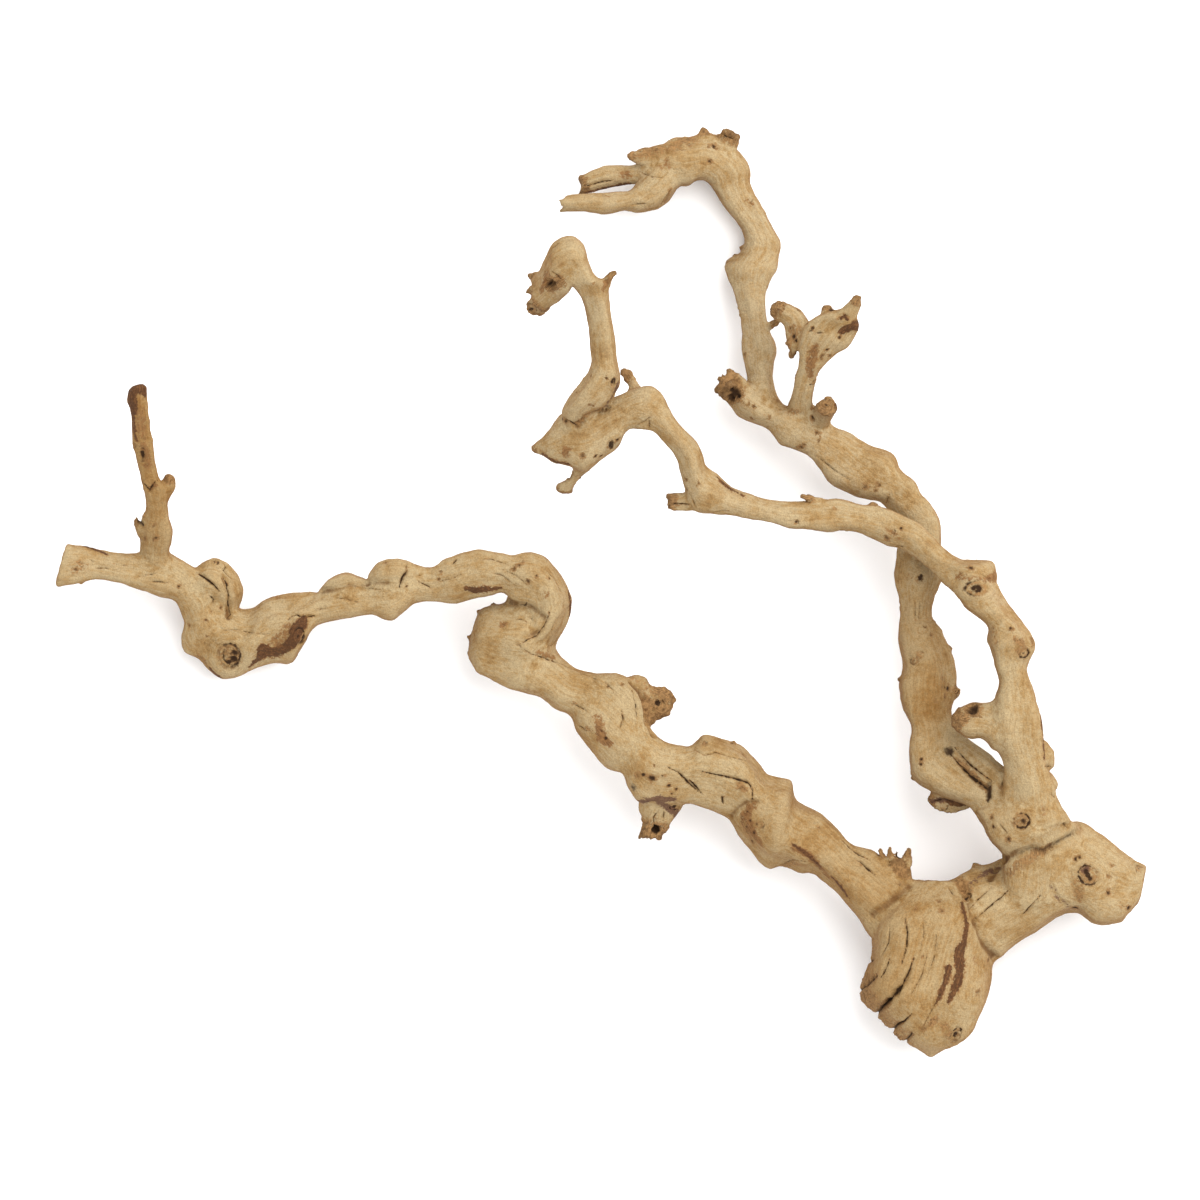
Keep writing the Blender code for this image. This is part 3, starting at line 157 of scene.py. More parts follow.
sideSpur = [
    (12, -48.6, 20, -78, 42, 0.62), (17.6, -45.8, 24, -75, 42, 0.62),
    (24, -47.6, 28, -73, 41, 0.62), (25.6, -51, 31, -71, 40, 0.62),
    (32, -52.4, 36, -68.2, 39, 0.6), (37.4, -53.8, 38.4, -65, 38, 0.6),
]

sideSpurNubs = [
    [(14.5, -50, 19.5, -50, 43, 0.8), (15.8, -47.4, 18.4, -47.4, 44, 0.9)],
    [(20, -51, 25.5, -51, 42, 0.8), (20.8, -48.6, 24.4, -48.8, 43, 0.9)],
    [(37, -57, 37, -61.5, 38, 0.8), (39.8, -58.2, 39.8, -60.6, 38, 0.8)],
]

hollowStub = [
    (47, -114, 21, -112, 42, 0.7), (43, -120, 20.6, -120, 39, 0.72),
    (37.5, -128.5, 22.5, -127.5, 36, 0.86), (32.6, -135.2, 20.2, -135.4, 34, 0.95),
]

heel = [
    (229, -162, 168, -160.6, 38, 0.6), (230, -179, 157, -175, 37, 0.74),
    (226, -192, 151, -187, 36, 0.86), (218.5, -205, 150.3, -201, 35.2, 0.98),
    (217, -216, 146.6, -213, 35, 0.99), (215.6, -221.5, 144.2, -221, 35, 0.98),
    (213.8, -228, 145.6, -228, 35, 0.98), (210, -237, 152.8, -235.8, 34.5, 1.0),
    (204.6, -247, 163.6, -246.6, 35, 1.05), (197.2, -252, 170.6, -252.2, 36, 1.1),
    (190.2, -255.4, 176.4, -255.6, 36, 1.25), (185.4, -258.2, 180.8, -258.2, 36, 1.4),
]

bar = [
    (196, -160, 200, -212, 37, 0.78), (207, -154, 218, -206, 37, 0.72),
    (222, -148.9, 229, -197, 37, 0.72), (240, -141.5, 240, -190, 38, 0.74),
    (255, -131.5, 253, -181.5, 39, 0.76), (266, -127.2, 264, -178.3, 40, 0.76),
    (278, -134.3, 275.4, -184.6, 40, 0.76), (290.2, -145, 288, -184.2, 40, 0.84),
    (298, -150.4, 292.6, -180.4, 40, 0.9), (302.6, -152.6, 298.6, -173.4, 40, 0.95),
]

stem = [
    (224, -176, 264, -170, 42, 0.8), (223.5, -158, 268, -146, 48, 0.76),
    (223, -145.5, 265, -129.5, 53, 0.78), (216.6, -138, 260.2, -127, 57, 0.8),
    (212, -128, 256.4, -120, 60, 0.8), (208, -121.5, 253.6, -114, 62, 0.78),
]

innerArm = [
    (214, -132, 250, -122, 57, 0.84), (205.5, -120.5, 232, -110, 54, 0.9),
    (197.5, -116.6, 218, -102, 51, 1.0), (183, -110.5, 207, -93, 47, 0.92),
    (172.8, -103.5, 199.5, -84, 44, 0.88), (171, -92, 199, -78, 42, 0.88),
    (171.3, -83, 197.5, -75.5, 41, 0.9), (172.6, -76, 194.8, -70, 40, 1.0),
    (168.6, -67, 194.6, -64, 40, 0.94), (166.4, -58, 197.4, -57, 40, 0.9),
    (165.4, -49.5, 197.4, -49, 40, 0.9), (167.4, -42, 197, -41, 40, 0.9),
    (166.8, -35, 195, -34, 39, 0.92), (165.4, -27, 191, -26.5, 38, 0.94),
    (165.6, -19, 188.2, -20.6, 38, 1.0), (166, -11, 183, -12.5, 37, 1.1),
    (165.6, -3, 184.6, -3.5, 37, 1.08), (163.6, 5, 188, 4.5, 37, 0.98),
    (163, 12, 190, 11, 37, 0.96), (164, 20, 189, 20, 36, 0.98),
    (164.5, 30, 188.4, 30, 36, 1.0), (163, 40, 188, 40, 36, 1.0),
    (158.5, 47, 184.2, 47.4, 36, 1.0), (156.4, 49.8, 182, 51, 36, 1.0),
    (154, 51.2, 177.4, 55.4, 36, 1.0), (148, 52.5, 174.5, 62, 35, 0.96),
    (140, 54.7, 166.5, 68.5, 34, 0.92), (132, 58.8, 162, 77, 33, 0.88),
    (125.9, 62.9, 153.5, 81.2, 32, 0.88), (120.8, 70.6, 144, 85.6, 31, 0.92),
    (113.5, 77.6, 136, 90.2, 31, 0.94), (106, 80.6, 128, 94, 31, 0.98),
    (98.9, 83, 120.5, 103, 31, 0.92), (93, 91.3, 111, 106, 31, 1.05),
    (83.5, 95.2, 103, 104, 31, 1.1), (75.2, 99.4, 90, 113, 31, 1.1),
    (70.4, 105.4, 79, 118.4, 34, 1.05), (67.6, 108.8, 76.6, 121, 36, 1.0),
    (66, 110.4, 74.4, 121.8, 37, 1.0),
]

brokenFins = [
    [(72, 112, 80.6, 118.4, 37, 0.6), (69.4, 117, 76.6, 121.4, 38, 0.6),
     (68.4, 121.6, 73.6, 124.4, 39, 0.6), (68.6, 124.4, 71.2, 125.6, 39, 0.7)],
    [(70, 114.5, 74, 118, 37, 0.7), (67.4, 119.4, 69.6, 120.8, 38, 0.8),
     (66, 121.8, 67.2, 122.6, 38.5, 0.9)],
    [(71, 109.8, 73.5, 117.5, 36, 0.9), (66, 111, 69.5, 118.6, 37, 0.95),
     (62.9, 112.6, 65.4, 118.6, 37.5, 0.95)],
    [(66.5, 116, 69, 118.5, 37, 0.8), (64, 119.4, 66.4, 120.8, 37, 0.8)],
]

farArm = [
    (77, 103, 101, 103, 29, 0.9), (80, 112, 97, 111, 27, 1.0),
    (81.3, 120, 95.2, 120, 25, 1.1), (79.2, 129, 95.3, 129, 23, 1.1),
    (77.5, 137, 96.2, 138, 21.5, 1.05), (77.5, 147, 92.5, 146.5, 20.5, 1.15),
    (76.2, 157, 90.5, 157, 19.5, 1.15), (73.8, 167, 90.2, 167, 18.5, 1.08),
    (70.3, 176, 93, 175, 17, 0.96), (68.2, 183, 96.8, 181, 14.8, 0.92),
    (75.4, 188.2, 98.2, 188, 12.8, 1.02), (79.6, 195.5, 99.3, 195.6, 11, 1.15),
    (78, 202, 95.4, 203, 9.8, 1.2), (73, 210, 91.3, 211.5, 9.4, 1.15),
    (66, 219.5, 86.4, 220.5, 10.2, 1.05), (61.5, 227, 82.2, 230, 11.8, 1.0),
    (58, 231.6, 81.4, 238.3, 13.6, 0.92), (51.5, 232, 73.4, 249.2, 16, 0.86),
    (48, 228.6, 62, 256.4, 18, 0.84), (43, 228.2, 49, 255.2, 20, 0.84),
    (38.8, 229.6, 38.6, 254.4, 21, 0.8), (36, 230, 30, 248.6, 22, 0.74),
]

lowerProng = [
    (42, 230, 42, 250, 21, 0.8), (37.4, 221, 33, 246, 23, 0.76),
    (30.6, 215, 27, 240, 25, 0.8), (20, 213, 19, 230, 27, 0.95),
    (12, 214.3, 14, 225, 29, 1.1), (1.5, 212.3, 2, 224, 31, 1.05),
    (-9, 213.4, -9.5, 223.2, 33, 1.1), (-22.8, 213.2, -20.8, 222, 34, 1.1),
]

upperProng = [
    (40, 234, 40, 252, 21, 0.8), (27, 231.5, 27, 247, 20, 0.9),
    (18, 229, 18, 239.4, 18, 1.05), (9, 228.7, 9, 238.8, 17, 1.05),
    (-0.6, 226.1, 0, 238.7, 16, 0.95), (-12, 223, -11.8, 233.6, 15, 1.0),
]

prongFlake = [
    (36, 238, 36, 252, 24, 0.6), (26.5, 239.6, 27, 250.4, 25, 0.6),
    (19, 240.2, 19.6, 247.8, 26, 0.6), (14, 243.4, 14.2, 246.4, 27, 0.8),
]

farNub = [
    (52, 250, 61, 250, 19, 0.8), (53.2, 256.5, 59.6, 257.2, 19, 0.8),
    (55, 259.6, 57.2, 259.6, 19, 0.9),
]

farKnob = [
    (59, 247, 74, 243, 17, 0.7), (64, 255, 74.6, 249, 18, 0.8),
    (67, 259.2, 75.8, 254, 19, 0.95),
]

spurArm = [
    (102, 99, 119, 98, 35, 0.8), (104, 106.5, 117, 106, 42, 0.9),
    (106, 113.5, 117.2, 113, 48, 0.95), (107.6, 121, 119.3, 120.5, 52, 1.0),
    (109.4, 129, 123.1, 127.6, 56, 0.95), (110, 138, 129.9, 133.4, 59, 0.82),
    (112, 148.5, 136, 137.2, 62, 0.72), (119, 154.2, 140.6, 144.6, 65, 0.72),
    (127, 156.8, 142.2, 149.5, 69, 0.8), (132.6, 158.4, 141.3, 155, 73, 0.95),
    (137.4, 162.6, 143.2, 160, 77, 1.0), (141.2, 165.8, 143.6, 164.4, 80, 1.0),
]

spurSideArm = [
    (105, 134, 118, 143, 55, 0.8), (102.4, 142, 114.6, 152, 54, 0.85),
    (100.8, 149.8, 110, 158.4, 53, 0.95), (95.6, 152.8, 103.8, 161.6, 52, 0.95),
    (92.8, 157, 98.6, 163.4, 51, 0.95),
]

spurNub = [
    (121, 150, 129.5, 150, 64, 0.8), (121.8, 157, 129.2, 156.4, 64, 0.9),
    (122.6, 160, 127.4, 159.8, 64, 0.9),
]

stump = [
    (117, 100, 124, 92, 36, 1.2), (119.5, 105.2, 126.6, 97.2, 46, 1.1),
    (121.6, 107.4, 128.8, 101.2, 56, 1.0),
]

outerArm = [
    (222, -136, 260.4, -127, 58, 0.78), (222, -118, 254.4, -117, 64, 0.84),
    (223.5, -106, 252, -108, 68, 0.86), (224.2, -96.5, 247.5, -97, 71, 0.95),
    (220.5, -89, 245.3, -87, 73, 0.95), (216.5, -80, 245, -78, 75, 0.9),
    (217.5, -69, 244.5, -70, 76, 0.92), (218.6, -59, 241.2, -59, 77, 0.98),
    (220.8, -49.5, 238, -50, 79, 1.08), (218.6, -41, 236.4, -42.5, 81, 1.08),
    (217, -33, 238, -37, 82, 0.98), (214.6, -26, 240.8, -30, 83, 0.9),
    (215, -19.5, 239.6, -24, 83, 0.92), (210, -13.8, 235, -17, 82, 0.9),
    (203, -8.3, 229.8, -10.4, 80, 0.9), (198.8, -2.5, 223.7, -2.5, 78, 0.92),
    (194.5, 1.8, 219.6, 5.2, 75, 0.94), (190, 5.8, 218.9, 11, 72, 0.86),
    (187, 9, 216.8, 17, 70, 0.86), (183.8, 12.2, 207, 17.9, 68, 0.9),
    (180.6, 14.8, 198.4, 19.6, 66, 0.98), (175, 19.5, 189, 26, 63, 1.25),
    (166, 25.3, 178, 37.5, 61, 1.15), (158, 27, 167, 43.5, 60, 1.05),
    (150, 31, 157, 47.4, 60, 1.05), (142, 34.6, 148.5, 48.6, 61, 1.08),
    (133, 35.4, 138.5, 51, 62, 1.02), (125, 34.6, 129, 52.8, 63, 0.96),
    (115, 35.9, 118.5, 51, 65, 1.06), (104.5, 35.7, 105, 50.8, 67, 1.08),
    (93, 39.7, 92, 52.4, 69, 1.15), (80, 42.2, 80.5, 55.4, 71, 1.12),
    (70, 43.6, 72, 58.8, 73, 1.06), (60, 44.5, 64.5, 65.6, 75, 0.92),
    (50.5, 46.4, 58, 70.2, 77, 0.86), (46.2, 58, 56.2, 74.5, 79, 0.95),
    (44.2, 67, 54.3, 79.6, 82, 1.05), (41.2, 75, 51.5, 84.5, 85, 1.1),
    (36.8, 80.6, 46.8, 89.6, 87, 1.1), (32.5, 85.6, 41.8, 94.8, 89, 1.1),
    (28, 90.3, 36.6, 103, 90, 1.02), (21.5, 91.4, 31.8, 111.4, 90, 0.9),
    (14, 91.4, 25.6, 115.4, 89.5, 0.82),
    (8, 81.4, 7.5, 110, 86, 0.8), (-1, 74.4, -3, 104, 83, 0.8),
    (-11, 68, -12.5, 103, 80, 0.76), (-19, 71.2, -23.5, 99.8, 77, 0.8),
    (-28, 73.4, -30, 91.4, 74, 0.95), (-34, 77.2, -36, 84.8, 71, 1.05),
    (-38.6, 79, -39.2, 82.6, 69, 1.05),
]

droopingTwig = [
    (-4, 72, -18, 76, 77, 0.7), (-8, 68.8, -17.2, 70, 72, 0.85),
    (-12.2, 65.2, -18.4, 66.8, 68, 1.1), (-15.4, 61.4, -21.4, 62.8, 65, 1.1),
    (-16.8, 59.2, -25.4, 61, 63, 0.9), (-17.6, 57.2, -26.4, 58.8, 61, 0.9),
]

hookArm = [
    (-19, 89, -9, 89, 84, 0.7), (-21.6, 95.6, -10.5, 95, 89, 0.8),
    (-22.9, 101.8, -5.5, 100.6, 94, 0.84), (-19.9, 108.8, 3, 105, 98, 0.84),
    (-14.3, 116, 7, 112, 102, 0.86), (-9, 122, 8.9, 119.5, 105, 0.92),
    (-6.4, 128.5, 7.5, 127.5, 107, 1.04), (-7.2, 137, 6.7, 136.5, 109, 1.04),
    (-8.3, 147, 5.6, 147, 112, 1.04), (-10.3, 158, 3.9, 157.5, 115, 1.04),
    (-12.8, 165.5, 2.7, 166, 118, 1.0), (-15.6, 170.2, 1.6, 173.5, 121, 0.96),
    (-16.6, 172.2, -4.6, 176.2, 123, 1.25), (-17.4, 172, -8.6, 185.4, 124, 1.05),
    (-18, 171.2, -11.2, 194, 123, 0.86), (-18.6, 170.4, -18.2, 198.6, 121, 0.8),
    (-19.8, 167.4, -27.2, 195.4, 117, 0.8), (-22.4, 164.2, -31, 187.6, 111, 0.84),
    (-27.4, 161.2, -34.2, 179.6, 104, 0.9), (-32.6, 157.4, -38, 176, 97, 0.86),
]

hookToothUpper = [
    (-30, 171, -31, 182, 101, 0.8), (-36.5, 173.5, -37.4, 179.6, 97, 0.8),
    (-40.8, 175.2, -41.8, 178.8, 94, 0.8),
]

hookToothMiddle = [
    (-30, 166, -30, 176, 98, 0.8), (-37, 166.6, -37, 173.6, 93, 0.8),
    (-42.8, 167, -42, 170, 89, 0.8),
]

hookToothLower = [
    (-28, 162, -32, 170, 98, 0.8), (-31.5, 157.8, -39.6, 165.4, 91, 0.85),
    (-34.8, 155.6, -42.2, 162.2, 84, 0.85),
]

hookThorn = [
    (-4.5, 172, 2.5, 168, 120, 0.7), (0.2, 175.4, 4.2, 172.4, 124, 0.8),
    (2.4, 177.6, 5.2, 175.9, 127, 0.9), (5, 179.8, 6.6, 178.6, 129, 0.9),
]

armThorn = [
    (13, 112, 21, 112, 87, 0.5), (14.2, 115.4, 19.8, 116.6, 85, 0.75),
    (11.4, 119, 17.2, 120.8, 84, 0.75), (8.8, 123.6, 13.6, 124.8, 83, 0.75),
]

forkStub = [
    (58, 46, 62, 58, 76, 0.7), (50, 46.4, 50, 56.4, 76, 0.75),
    (43, 46.6, 43, 55.6, 76, 0.75), (37.8, 46.8, 36.8, 55.4, 76, 0.75),
]

splinter = [
    (124, 48.4, 125, 52.6, 66, 0.6), (118, 50, 118.6, 54, 68, 0.55),
    (113, 52, 113.4, 54.8, 69, 0.6), (110.6, 53.6, 110.8, 55.2, 70, 0.8),
]

armStub = [
    (232, -88, 232, -60, 74, 0.7), (219, -88, 220, -60, 74, 0.78),
    (212.5, -81.4, 213, -61.2, 74, 0.9), (205, -80.9, 206, -61.2, 73, 0.9),
    (200.4, -79, 199.2, -64, 72, 0.95), (196, -75.2, 195.8, -67.4, 71, 0.95),
]

graftedBranch = [
    (196, -71, 186, -80, 44, 0.8), (200.6, -79.2, 193.6, -86, 47, 0.9),
    (207, -83.8, 200.6, -92.6, 50, 1.0), (214, -88.8, 208, -97.6, 54, 1.0),
    (221, -94.8, 214.5, -103, 58, 0.95), (228, -99, 219.5, -110, 61, 0.85),
]

flapStub = [
    (205, -120, 196, -104, 44, 0.5), (196, -122.6, 190, -108, 43, 0.5),
    (186, -120.4, 184, -110, 42, 0.5), (182.4, -117, 182, -113, 41, 0.6),
]

outerLump = [
    (240, -82.5, 238, -102, 70, 0.8), (246.8, -82.8, 246.4, -99.4, 69, 0.8),
    (251, -87.2, 250.6, -98, 68, 0.85),
]

lowerLump = [
    (244, -98, 243, -114, 65, 0.8), (249.6, -100.4, 250, -112, 64, 0.8),
    (252.6, -104.5, 252.4, -109.5, 64, 0.85),
]

cane = [
    (-261, 14, -241, 14, 31, 0.8), (-259.2, 22, -243.2, 22, 36, 0.95),
    (-259, 29, -241.8, 28.5, 41, 0.96), (-258.6, 36, -241.2, 35, 46, 0.96),
    (-255.8, 42.5, -242.8, 42, 51, 1.05), (-255.2, 50, -243.4, 49, 56, 1.05),
    (-256.6, 57.5, -243.6, 57, 61, 0.98), (-258, 65, -248.3, 64.5, 66, 1.05),
    (-260.2, 74, -250, 73, 71, 1.05), (-262.2, 83, -251.2, 82.5, 76, 1.05),
    (-262.4, 92, -253, 92, 81, 1.05), (-263.6, 101, -254.3, 101, 86, 1.05),
    (-265.8, 108, -254.4, 108, 90, 1.0), (-264.4, 112.6, -254.6, 113.4, 93, 0.95),
]

caneNub = [
    (-252, 52, -243, 51, 57, 0.8), (-247.6, 59.5, -239.6, 57.5, 60, 0.9),
    (-245.4, 64.8, -239.4, 62.8, 63, 0.95),
]

caneFlakes = [
    [(-260.2, 32, -255.8, 32, 44, 0.8), (-261.7, 37.6, -258.7, 38.4, 48, 0.9),
     (-261.7, 42.2, -259.9, 42.4, 51, 0.9)],
    [(-258.6, 37.5, -253.5, 37.5, 49, 0.7), (-258, 41.8, -254, 42.6, 52, 0.8),
     (-256.6, 45.4, -254, 45.8, 54, 0.8), (-255.6, 47.2, -254.2, 47.4, 55, 0.9)],
]

heelSpur = [
    (162, -166, 173, -167, 42, 0.7), (162.2, -156, 172, -157, 45, 0.7),
    (160, -150, 172.2, -150.4, 46, 0.6),
]

heelSpurTips = [
    [(155.8, -149.5, 160.4, -150.5, 45, 0.8), (154.6, -146.4, 157.8, -147.4, 46, 0.8),
     (153.6, -144.2, 155.6, -143.2, 46.5, 0.9)],
    [(159.4, -151, 163.8, -151, 46, 0.8), (158.4, -145.6, 161.8, -145.6, 48, 0.8),
     (158.8, -142.6, 160.8, -142.4, 49, 0.9)],
    [(163, -151, 167.2, -151, 46, 0.8), (163.2, -147, 166, -146.8, 47, 0.8),
     (163.4, -145.2, 165.2, -145.2, 48, 0.9)],
    [(166.8, -152, 172.2, -152, 46, 0.8), (168.4, -146.6, 172.2, -146.6, 48, 0.8),
     (169.6, -143.2, 171.2, -143, 50, 0.9)],
]

spurTeeth = [
    [(108, 134, 106, 140, 55, 0.8), (104.6, 130.8, 103.8, 133.6, 53, 0.9)],
    [(108, 136, 107, 141, 56, 0.8), (103, 136.2, 103.2, 138.4, 56, 0.9)],
    [(106, 138, 106, 143, 56, 0.8), (101.6, 138.6, 102.2, 140.8, 58, 0.9)],
]

redThorn = [
    (88, 151.5, 89, 146.5, 22, 0.6), (92.5, 151.6, 93.4, 147.4, 24, 0.6),
    (97.6, 154.2, 98.6, 151.8, 28, 0.8),
]

armNub = [
    (190, -50, 190, -62, 42, 0.8), (195.4, -51.4, 195.4, -60, 42, 0.85),
    (198.6, -53, 198.2, -58.2, 42, 0.9),
]

crossingNub = [
    (148, 44, 154.5, 43, 62, 0.8), (148.2, 50.2, 153.6, 49.6, 62, 0.8),
]

# Small dark nubs along the outline: x, y, height of the tip, direction in degrees, size
edgeNubs = [
    (68.6, 184.6, 15, 190, 2.0), (72.4, 188.4, 13, 165, 1.2), (76.4, 193.6, 12, 165, 1.2),
    (-14.6, -75.4, 43, 225, 1.8), (-70.4, -9.6, 38, 140, 1.7), (-61.5, -5.4, 40, 100, 1.5),
    (-75.6, -24.6, 36, 180, 1.4), (-75.4, -34.4, 36, 190, 1.4), (-72.0, -40.4, 36, 215, 1.4),
    (195.4, -31.0, 39, 0, 1.4), (164.4, -48.2, 40, 180, 1.7), (171.8, -104.0, 44, 215, 1.7),
    (-292.0, 4.6, 34, 265, 1.4), (9.0, 85.0, 86, 330, 1.7), (207.6, -150.6, 40, 110, 2.2),
    (72.6, -82.6, 41, 75, 1.6), (53.0, -117.4, 42, 250, 1.8), (16.0, -108.8, 44, 190, 2.0),
]
nubTaper = ((3.2, 1.5), (1.2, 1.1), (0.3, 0.6))     # way in from the tip and half width, by size


def nubRows(x, y, height, direction, size):
    # a stout tip that starts inside the limb and stands out from its edge
    toward = np.array([math.cos(math.radians(direction)), math.sin(math.radians(direction))])
    across = np.array([-toward[1], toward[0]])
    rows = []
    for back, width in nubTaper:
        middle = np.array([x, y]) - back * size * toward
        left, right = middle + width * size * across, middle - width * size * across
        rows.append((*left, *right, height, 0.8))
    return rows


# Ends that sink into a neighbour: the first two and the last in turn
heel[0], burl[0], stem[-1] = (*heel[0][:5], 0.36), (*burl[0][:5], 0.5), (*stem[-1][:5], 0.4)

# Closes the inner side of the loop, where the burl has grown onto the arm
loopWeb = [
    (-53, -1, -53.5, -9, 47, 0.9), (-47, 0, -48, -13, 49, 0.9), (-40, -2, -43, -17, 50, 0.9),
    (-34, -6, -39, -20, 50, 0.9),
]

# Limb, first end and how far it stands out, last end and how far, length of the brown tip
limbPlan = [
    (armAndLongLimb, "sawn", 0, "buried", 0, 0),
    (bendLobe, "buried", 0, "round", 4, 0),
    (firstHump, "round", 1, "round", 1, 0),
    (secondHump, "round", 1, "buried", 0, 0),
    (burl, "buried", 0, "round", 0.8, 0),
    (loopWeb, "round", 1, "round", 1, 0),
    (sideSpur, "buried", 0, "round", 1.5, 20),
    (hollowStub, "buried", 0, "broken", 2, 14),
    (heel, "buried", 0, "round", 1, 0),
    (bar, "buried", 0, "round", 1, 0),
    (stem, "buried", 0, "buried", 0, 0),
    (innerArm, "buried", 0, "broken", 2, 8),
    (farArm, "buried", 0, "buried", 0, 0),
    (lowerProng, "buried", 0, "broken", 1, 0),
    (upperProng, "buried", 0, "broken", 1, 5),
    (prongFlake, "buried", 0, "round", 0.8, 3),
    (farNub, "buried", 0, "round", 1, 5),
    (farKnob, "buried", 0, "round", 2, 6),
    (spurArm, "buried", 0, "round", 1, 5),
    (spurSideArm, "buried", 0, "round", 2, 8),
    (spurNub, "buried", 0, "round", 1, 2),
    (stump, "buried", 0, "sawn", 0, 3),
    (outerArm, "buried", 0, "round", 1, 4),
    (droopingTwig, "buried", 0, "round", 3, 3),
    (hookArm, "buried", 0, "broken", 1, 6),
    (hookToothUpper, "buried", 0, "round", 1, 7),
    (hookToothMiddle, "buried", 0, "round", 1, 5),
    (hookToothLower, "buried", 0, "round", 1, 8),
    (hookThorn, "buried", 0, "round", 0.8, 6),
    (armThorn, "buried", 0, "sawn", 0, 10),
    (forkStub, "buried", 0, "broken", 1, 5),
    (splinter, "buried", 0, "round", 0.6, 9),
    (armStub, "buried", 0, "round", 1.5, 7),
    (graftedBranch, "buried", 0, "buried", 0, 0),
    (flapStub, "buried", 0, "round", 1, 5),
    (outerLump, "buried", 0, "round", 1.5, 0),
    (lowerLump, "buried", 0, "round", 1, 0),
    (cane, "buried", 0, "round", 4, 0),
    (caneNub, "buried", 0, "round", 2.5, 1),
    (heelSpur, "buried", 0, "broken", 2, 14),
    (redThorn, "buried", 0, "round", 1, 7),
    (armNub, "buried", 0, "round", 1, 3),
    (crossingNub, "buried", 0, "round", 1, 4),
]
brokenTips = brokenFins + sideSpurNubs + caneFlakes + heelSpurTips + spurTeeth
limbPlan += [(rows, "buried", 0, "round", 0.8, 7) for rows in brokenTips]
limbPlan += [(nubRows(*nub), "buried", 0, "round", 0.6, 3) for nub in edgeNubs]

